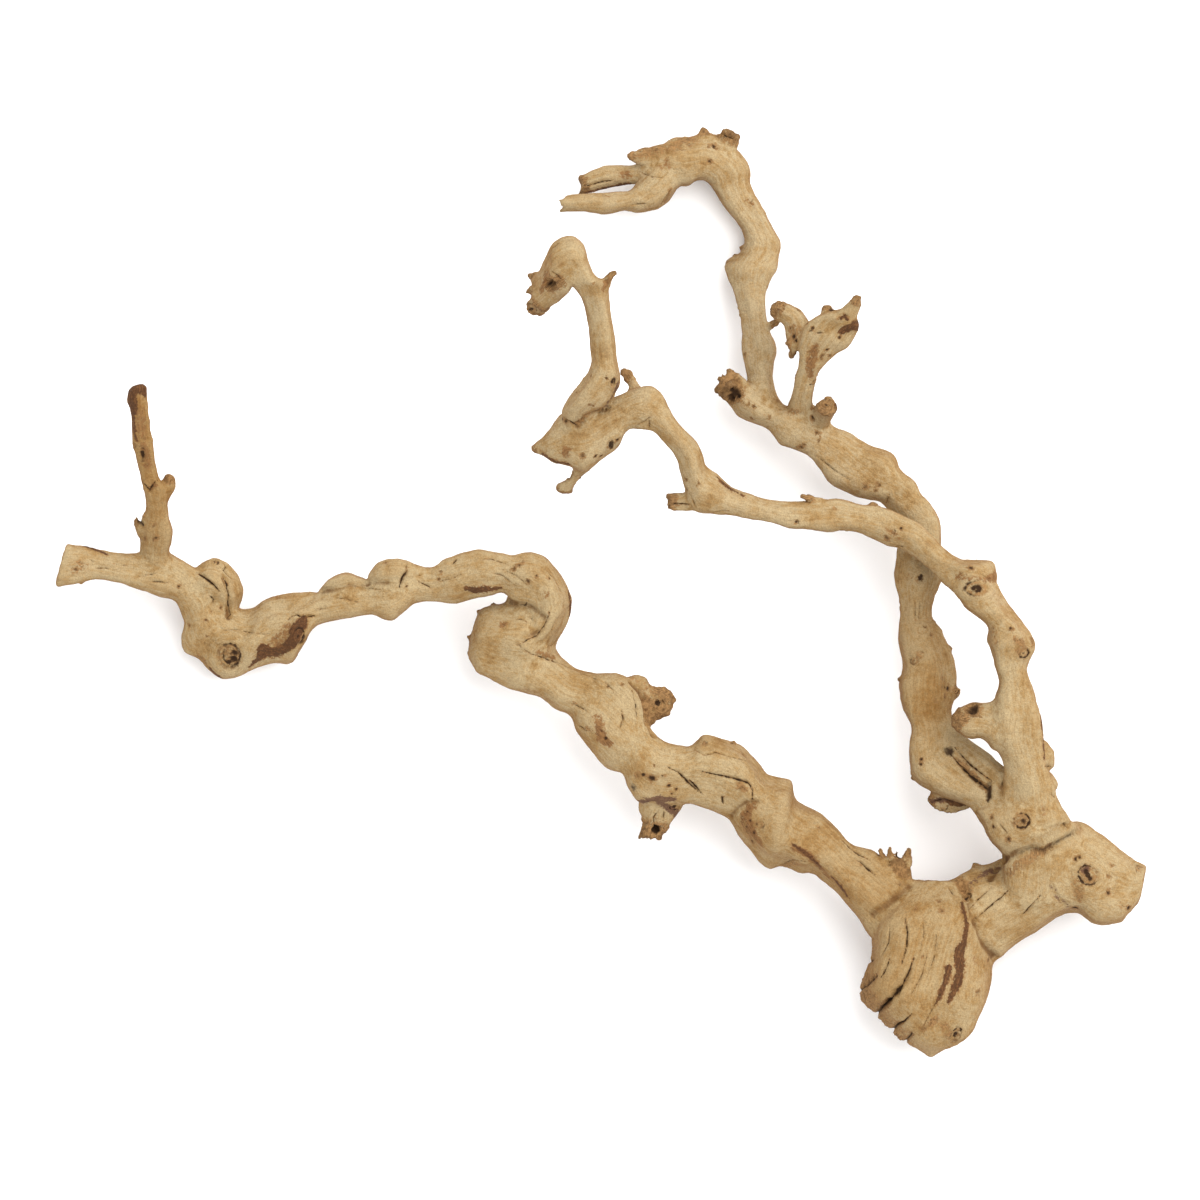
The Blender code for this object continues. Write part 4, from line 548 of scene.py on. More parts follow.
# Cracks along the grain: half width, depth, and the line's points in plan
cracks = [
    (0.35, 1.0, [(192, -163), (196, -169)]), (0.4, 1.2, [(205, -176), (210, -170), (217, -164)]),
    (0.45, 1.5, [(208, -182), (215, -176), (222, -170), (228, -164)]),
    (0.4, 1.3, [(233, -181), (239, -175), (244, -169)]),
    (0.45, 1.5, [(168.4, -181), (169.6, -190), (169.3, -197), (166.5, -207)]),
    (1.15, 4.2, [(173.2, -204.2), (171, -211), (168.4, -216.7), (160.7, -226.3), (152, -236)]),
    (0.6, 1.6, [(159.7, -204.2), (157.5, -209), (154.9, -214.8)]),
    (0.5, 2.0, [(172.3, -235), (168, -239.5), (162.6, -242.6), (158, -246)]),
    (0.35, 0.9, [(181, -201), (178.5, -212), (174, -221), (168, -229)]),
    (0.3, 0.8, [(186, -190), (185, -203), (181, -214)]), (0.3, 0.8, [(178, -178), (179, -190), (177, -200)]),
    (0.35, 1.0, [(160, -186), (159, -195), (155, -203)]), (0.3, 0.8, [(188, -224), (182, -236), (176, -247)]),
    (0.5, 1.6, [(150.5, -214), (147, -221)]),
    (0.35, 1.0, [(49.8, -87), (56.5, -90.3), (63.1, -88.6), (71, -91), (79.7, -93.6)]),
    (0.6, 1.9, [(54.8, -99.5), (63.1, -101.9), (73.1, -103.6), (81.4, -106.1), (83.5, -110), (83.1, -115.2)]),
    (0.55, 1.6, [(35.7, -96.9), (42, -100), (46.8, -105.6), (53, -111)]),
    (0.6, 1.8, [(48, -104.4), (54.8, -111.9)]), (0.5, 1.4, [(66, -113), (66.8, -118)]),
    (0.45, 1.2, [(99.7, -151.8), (106.3, -149.3), (113, -150.1)]),
    (0.45, 1.4, [(133, -137.7), (138, -142), (142.9, -146), (147.9, -148.5)]),
    (0.45, 1.4, [(140.4, -148.5), (144, -150.5), (147.9, -154.3), (152.1, -157.6)]),
    (0.45, 1.2, [(31, -121.3), (27.8, -126), (28.6, -130.8)]), (0.4, 1.0, [(34, -122), (33.5, -127)]),
    (0.45, 1.3, [(10.5, -65.4), (10.9, -70.1), (9, -75.6)]),
    (0.4, 1.2, [(16, -54.3), (18.1, -60.6), (18.7, -69.3)]), (0.35, 0.9, [(1, -49.7), (5, -53.6)]),
    (0.35, 1.0, [(-20, -61), (-13, -63.5), (-9, -66)]), (0.4, 1.2, [(-14, -74), (-9.5, -77)]),
    (0.45, 1.6, [(-29.8, -10.3), (-33.5, -18.2), (-37.8, -23.8), (-43.9, -27.4), (-47.3, -29.3)]),
    (0.4, 1.1, [(-47.3, -29.3), (-40.2, -34.2), (-25.5, -38.4), (-13.4, -44), (-4, -48)]),
    (0.3, 0.8, [(-26, -14), (-29, -21), (-33, -26)]), (0.3, 0.8, [(-24, -22), (-28, -29), (-36, -32)]),
    (0.4, 1.2, [(-50.6, -6.6), (-43.9, -7.2), (-42, -4.2)]),
    (0.35, 1.0, [(-51, -14.5), (-46, -14), (-43, -16)]),
    (0.35, 0.9, [(-68.4, 19.2), (-62.3, 19.2), (-52.5, 15.8)]), (0.3, 0.8, [(-58, 14), (-49, 10), (-41, 3)]),
    (0.3, 0.8, [(-33, 14), (-27, 8), (-23, 0)]), (0.3, 0.8, [(-66, 12), (-57, 10), (-49, 4)]),
    (0.5, 1.4, [(-85, 16), (-82, 19.5)]),
    (0.65, 2.2, [(-110, 15.5), (-110, 12), (-112, 9), (-113.5, 5), (-114, 3)]),
    (0.4, 1.1, [(-103, 6.5), (-100, 5), (-96, 3)]), (0.3, 0.7, [(-105, 10), (-100, 10)]),
    (0.3, 0.8, [(-95, 6), (-86, 8), (-78, 11)]), (0.3, 0.8, [(-143, 5), (-133, 3), (-124, 2)]),
    (0.5, 1.6, [(-176.3, -14.7), (-174.4, -12.8), (-171.4, -11.6), (-169.5, -12.5), (-164.6, -13),
     (-158, -12.5)]),
    (0.3, 0.7, [(-160, -9), (-154, -8.5)]), (0.3, 0.8, [(-152, -2), (-144, -3), (-137, -5)]),
    (0.75, 2.4, [(-227.4, 11.7), (-224, 9.5), (-220.6, 6.7), (-217.8, 4), (-214.3, 0.7)]),
    (0.8, 2.8, [(-211.8, 9.9), (-209.6, 5.5), (-208.7, 0.7), (-209.3, -5.5), (-208.1, -11.6), (-210, -13.4)]),
    (0.4, 1.2, [(-220.4, -1.1), (-218, -3.6), (-218, -7.3)]),
    (0.45, 1.2, [(-213.4, 17.4), (-211, 15), (-212.2, 13), (-208, 8)]),
    (0.5, 1.4, [(-253.7, 6.7), (-248, 6.3), (-243, 5.9)]),
    (0.35, 0.9, [(-212.4, -20.8), (-205, -19.9), (-196.5, -22), (-186.7, -23.2)]),
    (0.3, 0.8, [(-287, 19), (-284, 17)]), (0.35, 0.9, [(-284, 14), (-275.5, 13.7)]),
    (0.3, 0.8, [(-274, 16.5), (-265, 15.5)]), (0.3, 0.8, [(-262, 9), (-250, 11)]),
    (0.6, 1.6, [(-257.7, 62.6), (-253.5, 56.8), (-250.4, 62.1), (-247.2, 64.2)]),
    (1.0, 3.0, [(194, -89.9), (199, -95.5), (204.2, -100.9), (210, -105.5), (215.3, -109.6),
     (214.5, -116.7)]),
    (0.6, 1.6, [(196.4, -86), (205.8, -96.2), (216.8, -104.8)]), (1.2, 2.4, [(215.8, -108), (215, -115.5)]),
    (0.6, 1.2, [(183, -116.7), (190, -115.4), (198, -117)]),
    (0.35, 0.9, [(220.5, -128.1), (223, -131.5), (225.8, -134.3)]),
    (0.4, 1.0, [(256, -126), (257, -129), (259, -131)]), (0.5, 1.2, [(246.5, -96.5), (250, -97)]),
    (0.4, 1.0, [(252, -114), (250, -112)]), (0.35, 0.9, [(209.7, 11.7), (213.2, 9.5), (217.6, 7.3)]),
    (0.4, 1.0, [(160, 26), (168, 26)]), (0.35, 0.9, [(119, 77), (125, 72), (130, 68), (140, 62)]),
    (0.35, 0.9, [(47.3, 56.8), (49.6, 52), (51.9, 46.6)]), (0.5, 1.4, [(37, 50), (43, 49.5), (48, 49.5)]),
    (0.35, 0.9, [(60, 45), (70, 46)]), (0.35, 0.9, [(18, 93.5), (23.3, 95.7), (27, 99.4)]),
    (0.35, 0.9, [(25.5, 97.9), (25.5, 91.2)]), (0.35, 0.9, [(-17.6, 66), (-12.4, 64.5)]),
    (0.8, 2.2, [(-21.3, 96.4), (-18, 94), (-15.4, 92.7)]),
    (0.4, 1.0, [(-28.6, 191.9), (-27, 193.5), (-24.5, 195.5)]), (0.45, 1.0, [(-14.8, 197.8), (-12, 196.9)]),
    (0.45, 1.4, [(-28.4, 179.2), (-23.3, 174.4)]), (0.35, 0.9, [(-24.5, 172.5), (-22, 170.5)]),
    (0.35, 0.9, [(20, 236), (27, 233), (33, 232.5)]), (0.35, 0.9, [(15, 217), (24.5, 218)]),
    (0.35, 0.9, [(84, 221), (82, 217)]), (0.5, 1.4, [(-11.5, 227.4), (-2, 229.8), (6, 231)]),
    (0.5, 1.3, [(66, 257), (70, 255), (74, 253.5)]), (0.4, 1.2, [(36.7, 224.4), (31.7, 216.4)]),
    (0.4, 1.0, [(112.5, 145.5), (117, 147)]), (0.4, 1.0, [(118, 145), (123, 145.5)]),
    (0.35, 0.9, [(133, 154), (135, 155.5), (137, 153.5)]), (0.35, 0.9, [(158, 50), (160, 56)]),
    (0.3, 0.8, [(174, -4), (174.5, -18)]), (0.3, 0.8, [(177, -5), (176.5, -17)]),
    (0.55, 1.6, [(-211.7, -31.4), (-213.2, -34), (-212.4, -38), (-208.3, -40.6)]),
]

# Cracks that run out over the edge: half width, depth, points
notches = [
    (1.9, 2.8, [(158, -229), (146, -243)]), (1.5, 2.0, [(165, -241), (153, -252)]),
    (1.3, 1.8, [(152, -214), (139, -226)]),
    (1.2, 1.6, [(150, -205), (140, -211)]), (1.1, 1.4, [(172, -246), (165, -257)]),
]

# Splintered rims: reach, roughness, points
ruggedEdges = [
    (7, 1.1, [(144, -212), (145, -222), (151, -234), (160, -244), (168, -252)]),
    (5, 0.8, [(12, 244), (24, 247), (38, 250), (50, 254)]),
]

# Folds where the wood has grown over itself: half width, depth, points
folds = [
    (3.4, 2.6, [(216, -159), (220, -153), (225, -148), (232, -145), (240, -142.5), (246, -144.3),
     (264, -134.4)]),
    (3.2, 1.6, [(-57, -1), (-51, -6), (-41, -8), (-33, -14), (-35, -20), (-42, -25), (-48, -29)]),
    (3.4, 2.6, [(200, -163), (204, -172), (208, -184), (213, -196), (219, -204)]),
    (3.4, 2.0, [(150, -180), (158, -174), (165, -168), (171, -163)]),
    (3.0, 2.2, [(-212, 9), (-209.5, 3), (-209, -3), (-209.5, -9), (-209.5, -13)]),
    (2.8, 1.6, [(-160, 1), (-150, 1.8), (-142, 4), (-130, 5.5), (-121, 5.5)]),
    (3.0, 2.2, [(15.5, -50), (20, -54.5), (22.6, -60), (23.4, -66), (24, -72), (28, -79)]),
    (2.8, 2.0, [(-21.3, 96.4), (-15.4, 92.7), (-8.7, 98.7), (1.7, 103.2), (6.2, 110.5)]),
    (2.6, 1.6, [(71, -125), (75, -120), (80, -117), (86, -116.5)]),
    (3.0, 1.0, [(250, -164), (253, -170), (257, -174)]), (2.2, 1.0, [(-240, -8), (-238, -16), (-236, -24)]),
]

# Knots: x, y, the two half widths, turn, darkness of the rim, the side on which painted shade darkens
# the rim most, and the hole; the angles are in degrees, and the hole is a share of the knot
knots = [
    (270.7, -157.4, 5.8, 5.0, -50, 1.0, 200, 0.3), (233.4, -126.9, 4.4, 4.2, 0, 1.1, -30, 0),
    (208.1, 2.7, 6.3, 4.2, 0, 0.6, 170, 0.62), (234.6, -33.5, 2.9, 2.4, 20, 1.0, -60, 0.3),
    (-209.4, -34.8, 6.2, 6.7, 0, 0.75, 20, 0), (196.9, -246.8, 4.6, 2.3, 62, 0.8, 90, 0.5),
    (-170.5, -24, 4.6, 3.0, 75, 0.8, 20, 0.2), (-217.3, 17.4, 1.9, 1.6, 0, 0.7, 0, 0.3),
    (176.8, 8.5, 1.7, 1.9, 0, 1.0, 90, 0.95), (171.1, 9.8, 1.9, 1.6, 0, 0.3, 0, 0),
    (178.2, -20.5, 2.6, 2.3, 0, 0.35, 90, 0.2), (176.6, -34.3, 2.3, 2.1, 0, 0.4, 60, 0),
    (173.5, -37.8, 2.2, 1.8, 30, 0.5, 200, 0.3), (-257.2, 77.5, 1.8, 3.4, 0, 0.5, 90, 0.75),
    (107.6, 39.8, 1.6, 1.2, 0, 0.5, 0, 0.4), (299.5, -154, 2.4, 2.0, -40, 0.45, 200, 0.2),
    (5.1, 118, 1.6, 2.0, 0, 0.8, 0, 0.8), (4.2, 82.8, 1.4, 2.2, -20, 0.9, 0, 0.9),
    (88.1, -129.4, 1.7, 1.9, 0, 0.5, 0, 0), (196.8, -54.8, 1.8, 1.6, 0, 0.6, 0, 0.2),
    (124.4, 105.4, 4.2, 3.0, -20, 0.5, 150, 0.15), (203, -169, 2.6, 1.7, 30, 0.6, 0, 0.5),
    (161, 34.1, 2.0, 1.5, 40, 0.45, 0, 0), (56.5, -83.9, 1.8, 1.4, 0, 0.5, 0, 0),
    (39.8, -119.4, 2.4, 1.8, 0, 0.9, 200, 0.6), (66, 115.1, 3.7, 3.6, 0, 0.4, 200, 0),
    (189.5, -52.5, 1.4, 1.4, 0, 0.4, 0, 0), (-40.5, 158.5, 3.2, 3.0, 0, 0.6, 90, 0.3),
]

# Small pits and dots: x, y, radius, darkness
pits = [
    (-206.6, -33.5, 2.2, 0.9), (-206.9, -37, 2.5, 1), (-209.6, -39, 1.9, 0.9), (-211.5, -33, 1.4, 0.4),
    (80.5, -122, 0.9, 0.6), (82, -127, 1.2, 0.7), (80, -130.5, 0.9, 0.6), (84, -134, 1.3, 0.7),
    (83, -138.5, 1.0, 0.6), (85.6, -129, 0.9, 0.5), (-1, -77, 0.9, 0.6), (1, -81, 1.1, 0.8),
    (269.5, -155.5, 1.6, 1), (272, -159.5, 1.5, 0.9), (234.4, -127.4, 1.7, 0.8),
    (263.5, -176, 1.9, 1), (293.5, -176, 1.3, 1), (263.8, -148.5, 1.3, 0.8), (266, -147.8, 1.2, 0.7),
    (282.5, -157.9, 1.5, 0.25), (282, -167.2, 1.3, 0.6), (289.6, -175, 1.3, 0.25), (284, -152, 1.2, 0.2),
    (27.4, -103.7, 2.0, 1), (22.3, -101.3, 1.1, 0.9), (19.2, -101.6, 1.8, 0.35), (36.5, -107.6, 0.9, 0.9),
    (32.9, -102.1, 0.9, 0.7), (40.8, -109.5, 0.9, 0.8), (28.4, -96.4, 0.9, 0.6), (38, -112, 0.9, 0.7),
    (66.5, -114, 0.9, 0.5), (72.3, -83.7, 1.4, 0.5), (78.1, -90.3, 1.3, 0.35), (10.5, -51, 1.2, 0.4),
    (2.5, -52, 1.0, 0.5), (-50, 13.6, 1.3, 0.5), (-46.9, 15.8, 1.3, 0.5), (-45.1, 17.3, 1.0, 0.3),
    (-42, 6.6, 1.3, 0.6), (-37.5, 9.9, 0.8, 0.8), (-30.2, 8.3, 0.7, 0.6), (-91, 12, 0.9, 0.5),
    (-92, 8, 0.9, 0.5), (-110, 4, 0.8, 0.5), (-237.5, 4, 1.0, 0.6), (-222.5, -15, 0.9, 0.5),
    (-219, -10, 0.9, 0.4), (-214, -8, 0.9, 0.5), (-231.5, -18, 0.9, 0.4), (-222, -24, 0.8, 0.4),
    (-250.6, 37.9, 1.6, 0.35), (-250.2, 30.9, 1.4, 0.6), (-256.1, 30.4, 1.2, 0.35), (-294.8, 13.7, 1.2, 0.5),
    (-292, 17.5, 1.3, 0.3), (192.4, -53.2, 1.4, 0.8), (191, -58, 1.0, 0.4), (185, -61.5, 0.9, 0.3),
    (177.5, -92.6, 1.2, 0.9), (177.4, -95.5, 1.0, 0.8), (177, -99, 0.8, 0.4), (183, -23.3, 0.9, 0.4),
    (205, 14.3, 1.6, 0.8), (199, 10.5, 1.9, 0.4), (227.2, -19.4, 1.0, 0.6), (228.8, -19.6, 1.0, 0.3),
    (216.8, -125.3, 1.4, 0.5), (217.6, -130.3, 1.2, 0.8), (226, -137.5, 1.5, 0.6), (166.3, 36.4, 0.9, 0.8),
    (158, 31, 1.4, 0.4), (154.5, 60.5, 1.3, 0.5), (152, 57.5, 1.0, 0.4), (146.5, 59.5, 1.4, 0.5),
    (53, 61.4, 1.0, 0.4), (46.2, 63.5, 1.2, 0.5), (46.5, 58, 0.9, 0.3), (130, 47.5, 0.8, 0.3),
    (8, 85.6, 1.3, 0.8), (-11.7, 77.1, 1.6, 0.45), (-4.3, 76.4, 0.9, 0.8), (-1.6, 76.4, 0.9, 0.8),
    (1.7, 119.8, 0.8, 0.6), (-21.5, 95.5, 1.0, 0.6), (-8, 105, 1.0, 0.5), (-5.5, 104.5, 0.9, 0.4),
    (-7, 121, 0.9, 0.4), (-15, 112, 0.9, 0.4), (-31.4, 171.3, 1.4, 1), (-5, 172.5, 0.8, 0.3),
    (61.9, 250.2, 1.5, 0.7), (58.5, 250, 1.2, 0.4), (64.5, 249, 1.2, 0.3), (59.5, 241.5, 1.4, 0.6),
    (104.4, 148, 1.0, 0.6), (106.4, 143.4, 1.2, 0.9), (107.7, 141.3, 1.1, 0.9), (116.9, 148, 1.2, 0.6),
    (113.6, 150.5, 1.0, 0.5), (132, 142.7, 1.1, 0.7), (124.8, 135.9, 1.2, 0.7), (122.8, 132.8, 1.3, 0.4),
    (126.7, 132.8, 1.2, 0.4), (121.5, 130.5, 1.3, 0.4), (81, 105.5, 1.3, 0.4), (84, 104.5, 1.3, 0.5),
    (83, 97.5, 1.1, 0.3), (92.6, 98.7, 1.3, 0.35), (116.9, 98.1, 1.4, 0.7), (119.5, 89.9, 1.3, 0.5),
    (120.5, 85.5, 1.1, 0.4), (112, 83, 1.0, 0.4), (110.5, 81.5, 1.4, 0.5), (221.8, -108.9, 1.4, 0.25),
    (79, 133.5, 1.5, 0.4), (-121.5, 17.3, 1.2, 0.4), (209.2, -223, 1.5, 0.45), (174, -176, 1.3, 0.35),
    (187.5, -172, 1.2, 0.4), (189, -177, 1.3, 0.45), (215.3, -204.8, 1.5, 0.5), (178, -203, 0.9, 0.25),
    (166, -163, 1.1, 0.3), (172, -92, 0.8, 0.2), (144, -152, 1.0, 0.25), (120.8, -131, 1.0, 0.3),
]

# Bark left on the wood: x, y and half width along each strip
barkStrips = [
    [(-198, -41, 0.6), (-193, -36.5, 1.6), (-189.5, -32, 4.2), (-184, -33, 3.0), (-178, -31, 2.6),
     (-173, -26.5, 3.6), (-170.5, -20, 4.2), (-167.5, -14.5, 2.2)],
    [(-170, -33, 1.6), (-168.5, -37.5, 3.0), (-166.5, -40, 1.6)],
    [(200, -173, 0.9), (203, -185, 1.1), (201.6, -193.8, 1.6), (199, -200, 3.0), (198.8, -204.3, 3.2),
     (199.2, -211.6, 2.3), (197.7, -217.9, 2.5), (194.6, -224.2, 1.8), (192.7, -228.4, 0.6)],
    [(192.7, -209.5, 2.1), (192.2, -212.7, 1.4), (190.6, -217.9, 1.3), (188, -224.2, 1.1),
     (185.4, -229.5, 0.6)],
    [(105.5, -140, 0.5), (110, -143, 1.1), (116, -147.5, 1.0), (121, -152.5, 0.5)],
    [(127.5, -158.5, 0.5), (132.5, -163.5, 1.2), (137.5, -170.5, 0.6)],
    [(-292.3, 26.8, 0.8), (-285, 24.8, 1.2), (-277.8, 21.6, 0.8)],
    [(-264.4, 111.5, 2.6), (-260.5, 114.5, 3.6), (-256.6, 114.5, 3.0), (-255.6, 110, 1.0)],
    [(-263.6, 111, 3.4), (-262.4, 104.5, 3.2), (-262.4, 99, 1.4), (-262, 92, 1.1), (-260.6, 85.5, 0.9)],
    [(243.6, -65.5, 0.5), (245.4, -79.6, 0.7), (246, -92.2, 0.5)],
    [(63.2, 64.8, 0.5), (67, 61, 1.1), (71.2, 58, 1.2), (78, 54.1, 0.6)],
    [(133.4, 146.4, 2.2), (137, 148.4, 3.2), (141, 149.6, 3.2), (142.2, 147.4, 1.6)],
    [(132.6, 153.6, 0.7), (134.6, 154.6, 0.9), (136, 152.6, 0.7)],
    [(-76.5, 2.4, 1.4), (-71, 1.6, 2.2), (-64, 2.4, 1.5), (-57.4, 3.2, 0.8)],
    [(-19.6, 1.3, 0.8), (-18.4, -5, 1.1), (-18.9, -14.6, 0.8)],
    [(-34, 77.8, 0.8), (-26.5, 73.2, 1.1), (-19.2, 72.2, 0.8)],
    [(-9.5, 224.4, 0.8), (0, 226.6, 1.3), (10, 228.6, 1.2), (15.6, 229.5, 0.8)],
    [(-219.7, -42.2, 1.2), (-217, -45, 1.8), (-214.9, -46.4, 1.2)],
]

# Stains: colour, strength, and x, y, half width along each; those marked below are painted shade in creases,
# crotches and a hollow end
stains = [
    ("red", 0.42, [(-259, 102, 2.6), (-257, 88, 2.6), (-254, 70, 2.2)]),
    ("dark", 0.5, [(-257.2, 77, 1.5), (-257, 74, 1.2)]),
    ("purple", 0.6, [(205, -163, 1.0), (214, -156, 1.2), (224, -151, 1.0)]),
    ("red", 0.9, [(-2.9, -69.3, 1.0), (-2.4, -75, 1.6), (-1.3, -79.5, 2.6), (3.5, -83.8, 1.4)]),
    ("red", 0.8, [(-31.9, -0.8, 1.2)]), ("red", 0.8, [(-55.5, -17.6, 2.2)]),
    ("red", 0.6, [(-36.5, -33, 0.8), (-28, -36, 1.0)]), ("red", 0.6, [(-21.3, 78.6, 2.8)]),
    ("brown", 0.9, [(76.4, -107.7, 1.9), (79, -109.5, 1.2)]),
    ("red", 0.8, [(83.9, -117.7, 1.2), (79.9, -124.4, 2.2), (82.4, -132.7, 3.0), (88.1, -141, 1.0)]),
    ("brown", 0.9, [(81, -118.5, 0.8), (77.6, -125, 1.1), (79, -132, 1.2), (84, -140, 0.8)]),
    ("red", 0.95, [(106.3, -142.7, 1.0), (114.7, -146, 1.5), (121.3, -153.4, 1.4), (126.3, -159.3, 0.9)]),
    ("brown", 0.7, [(98, -153, 1.2), (106, -151.2, 1.6), (113, -152, 1.0)]),
    ("purple", 0.9, [(20.7, -116.6, 1.2), (31, -115, 1.6), (38.9, -115.3, 1.2)]),
    ("purple", 0.9, [(30.8, -116.5, 1.3), (37, -120, 1.6), (41.2, -123.6, 1.6)]),
    # painted shade in the crease where the side spur meets the limb
    ("brown", 0.95, [(24, -58, 1.2), (24.6, -66, 1.6), (25, -72, 1.2)]),
    ("brown", 0.8, [(186.4, -235.8, 0.8), (183.8, -240, 1.6), (178, -244.2, 0.6)]),
    ("brown", 0.35, [(190, -241, 3.0), (194, -247, 3.0)]), ("brown", 0.5, [(147.4, -220.6, 3.0)]),
    ("brown", 0.45, [(-10, -75, 1.2), (-4, -79, 1.2)]), ("brown", 0.4, [(-16, -62, 1.6)]),
    ("brown", 0.45, [(226, -157, 2.4), (236, -149, 3.0), (250, -141.5, 2.4)]),
    # painted shade in the crevice where the stem meets the bar
    ("dark", 0.55, [(233, -145.8, 0.9), (240, -143, 1.2), (246, -144.3, 1.4), (255.7, -138.7, 1.2),
     (264, -134.4, 0.8)]),
    ("purple", 0.6, [(269.3, -154.4, 2.2)]),
    # painted shade along the fold left of the knot
    ("purple", 0.3, [(251, -164, 1.2), (254, -171, 1.4), (260, -175, 1.2)]),
    ("brown", 0.4, [(264.5, -161, 3.0), (266, -170, 3.0)]), ("brown", 0.5, [(246, -121.4, 2.4)]),
    ("dark", 0.8, [(193.2, -88.3, 2.6)]), ("dark", 0.6, [(215.8, -106, 1.2), (215, -115, 1.8)]),
    ("brown", 0.6, [(198, -93, 1.6), (208, -103, 1.8), (215, -110, 1.8)]),
    ("purple", 0.8, [(183, -116.4, 0.9), (190, -115.2, 1.2), (198, -116.8, 1.0)]),
    ("brown", 0.35, [(190, -48, 3.0)]), ("brown", 0.7, [(197, -158, 2.5), (203, -166, 3.0)]),
    ("dark", 0.7, [(204.6, -65.2, 2.2), (206.8, -63.2, 2.0)]),
    ("brown", 0.6, [(203, -67, 3.4), (199, -72, 3.6)]),
    ("brown", 0.5, [(230, -26, 2.0), (234, -28, 2.6), (233, -31.5, 3.0)]),
    ("brown", 0.9, [(239.2, -26, 1.2), (239.4, -29.5, 1.0)]),
    # painted shade in the crease beside the lump
    ("brown", 0.4, [(217.6, -20, 1.8), (218.6, -27, 1.8)]),
    ("red", 0.6, [(198.5, 8.5, 1.8), (202, 9.5, 1.2)]),
    ("red", 0.9, [(214, 8, 0.8), (218.4, 8.4, 1.6), (218.8, 12, 1.0)]),
    ("red", 0.6, [(203.4, 7.4, 0.8), (208, 8.4, 0.9), (214, 7.2, 0.8)]),
    ("red", 0.5, [(159, 36, 0.9), (161.5, 34, 1.1), (164.5, 30.5, 0.9)]),
    ("brown", 0.5, [(-228, -33, 1.4), (-221, -41, 1.4)]),
    # painted shade in the crotch under the overhanging hook arm
    ("purple", 0.9, [(8, 117, 0.9), (6.2, 110.5, 1.8), (1.7, 104.2, 1.8)]),
    ("brown", 0.8, [(0, 103.6, 1.8), (-8.7, 99.4, 1.8), (-15.4, 93.6, 1.4)]),
    ("brown", 0.6, [(-6.2, 136, 0.8), (-5, 130, 0.8)]),
    ("red", 0.9, [(-0.5, 169.6, 1.0), (1.8, 172, 1.4), (3.2, 174.6, 1.0)]),
    # painted shade in the hollow of the hook's broken end
    ("brown", 0.75, [(-30.5, 177, 2.6), (-28, 172.5, 4.2), (-24.5, 174.2, 3.4)]),
    ("red", 0.8, [(-32, 179.6, 1.0), (-33.2, 172.1, 1.2), (-34.4, 168.1, 1.0)]),
    ("brown", 0.7, [(-38.6, 162.4, 1.0), (-34.6, 159.4, 1.0)]),
    ("brown", 0.6, [(-29.1, 188.2, 1.2), (-29.4, 184, 0.8)]),
    ("red", 0.6, [(35.7, 242.5, 1.2), (35, 238.6, 0.9)]), ("red", 0.5, [(30.7, 238.6, 1.1)]),
    ("red", 0.6, [(12.6, 234.5, 2.4)]),
    ("brown", 0.7, [(37.4, 225.4, 1.1), (35, 219.6, 1.1)]),
    ("red", 0.5, [(79, 220.4, 0.8), (84, 217.4, 0.9)]),
    ("red", 0.65, [(118.2, 137.4, 2.2), (116.2, 129.5, 2.4), (115.6, 120.4, 1.5)]),
    ("red", 0.7, [(116.6, 103.6, 1.4)]), ("brown", 0.5, [(104, 101, 1.6), (109, 102, 1.4)]),
    ("brown", 0.35, [(107, 146, 5.0)]), ("red", 0.4, [(-176, -22, 5.4), (-186, -33, 4.6)]),
    ("brown", 0.3, [(-293, 14, 5.0)]), ("red", 0.35, [(-190, -3, 1.4), (-176, -1.6, 1.6)]),
    ("dark", 0.8, [(-260, 40.6, 1.2), (-257.5, 38.6, 1.4)]),
    ("red", 0.5, [(-250, 61, 1.2), (-252.5, 58.5, 1.4)]),
    ("dark", 0.55, [(16.8, -108.6, 2.4)]), ("red", 0.4, [(208, -205, 2.0)]),
]

# Hollow ends: x, y, radius, depth, and the darkness of the painted shade inside
hollows = [
    (73.6, 111.6, 4.2, 6.0, 1.0), (29.4, -132.3, 2.6, 5.0, 1.0), (206, -64.5, 3.6, 3.4, 0.6),
    (-29.5, 172, 3.8, 4.6, 0.35), (165.6, -146.4, 1.9, 3.0, 1.0), (71, 108.4, 2.6, 3.5, 0.7),
]

# Broad tones of the wood in plan: x, y, radius, and browner (over zero) or paler (under)
tones = [
    (184, -60, 12, 0.6), (152, -222, 16, 0.5), (185, -205, 50, 0.45), (105, -135, 40, 0.4),
    (150, -165, 30, 0.4), (180, -55, 42, 0.5),
    (178, -5, 26, 0.3), (-257, 80, 42, 1.1), (-250, 30, 16, 0.4), (228, -60, 36, -0.25),
    (222, 0, 22, -0.4), (285, -165, 26, -0.25), (85, 150, 40, -0.5), (85, 215, 36, -0.5),
    (20, 225, 34, -0.3), (130, 75, 36, -0.35), (60, 50, 70, -0.3), (0, 95, 34, -0.3),
    (-10, 160, 34, -0.3), (-120, 5, 60, -0.1), (-265, 14, 26, -0.1),
]


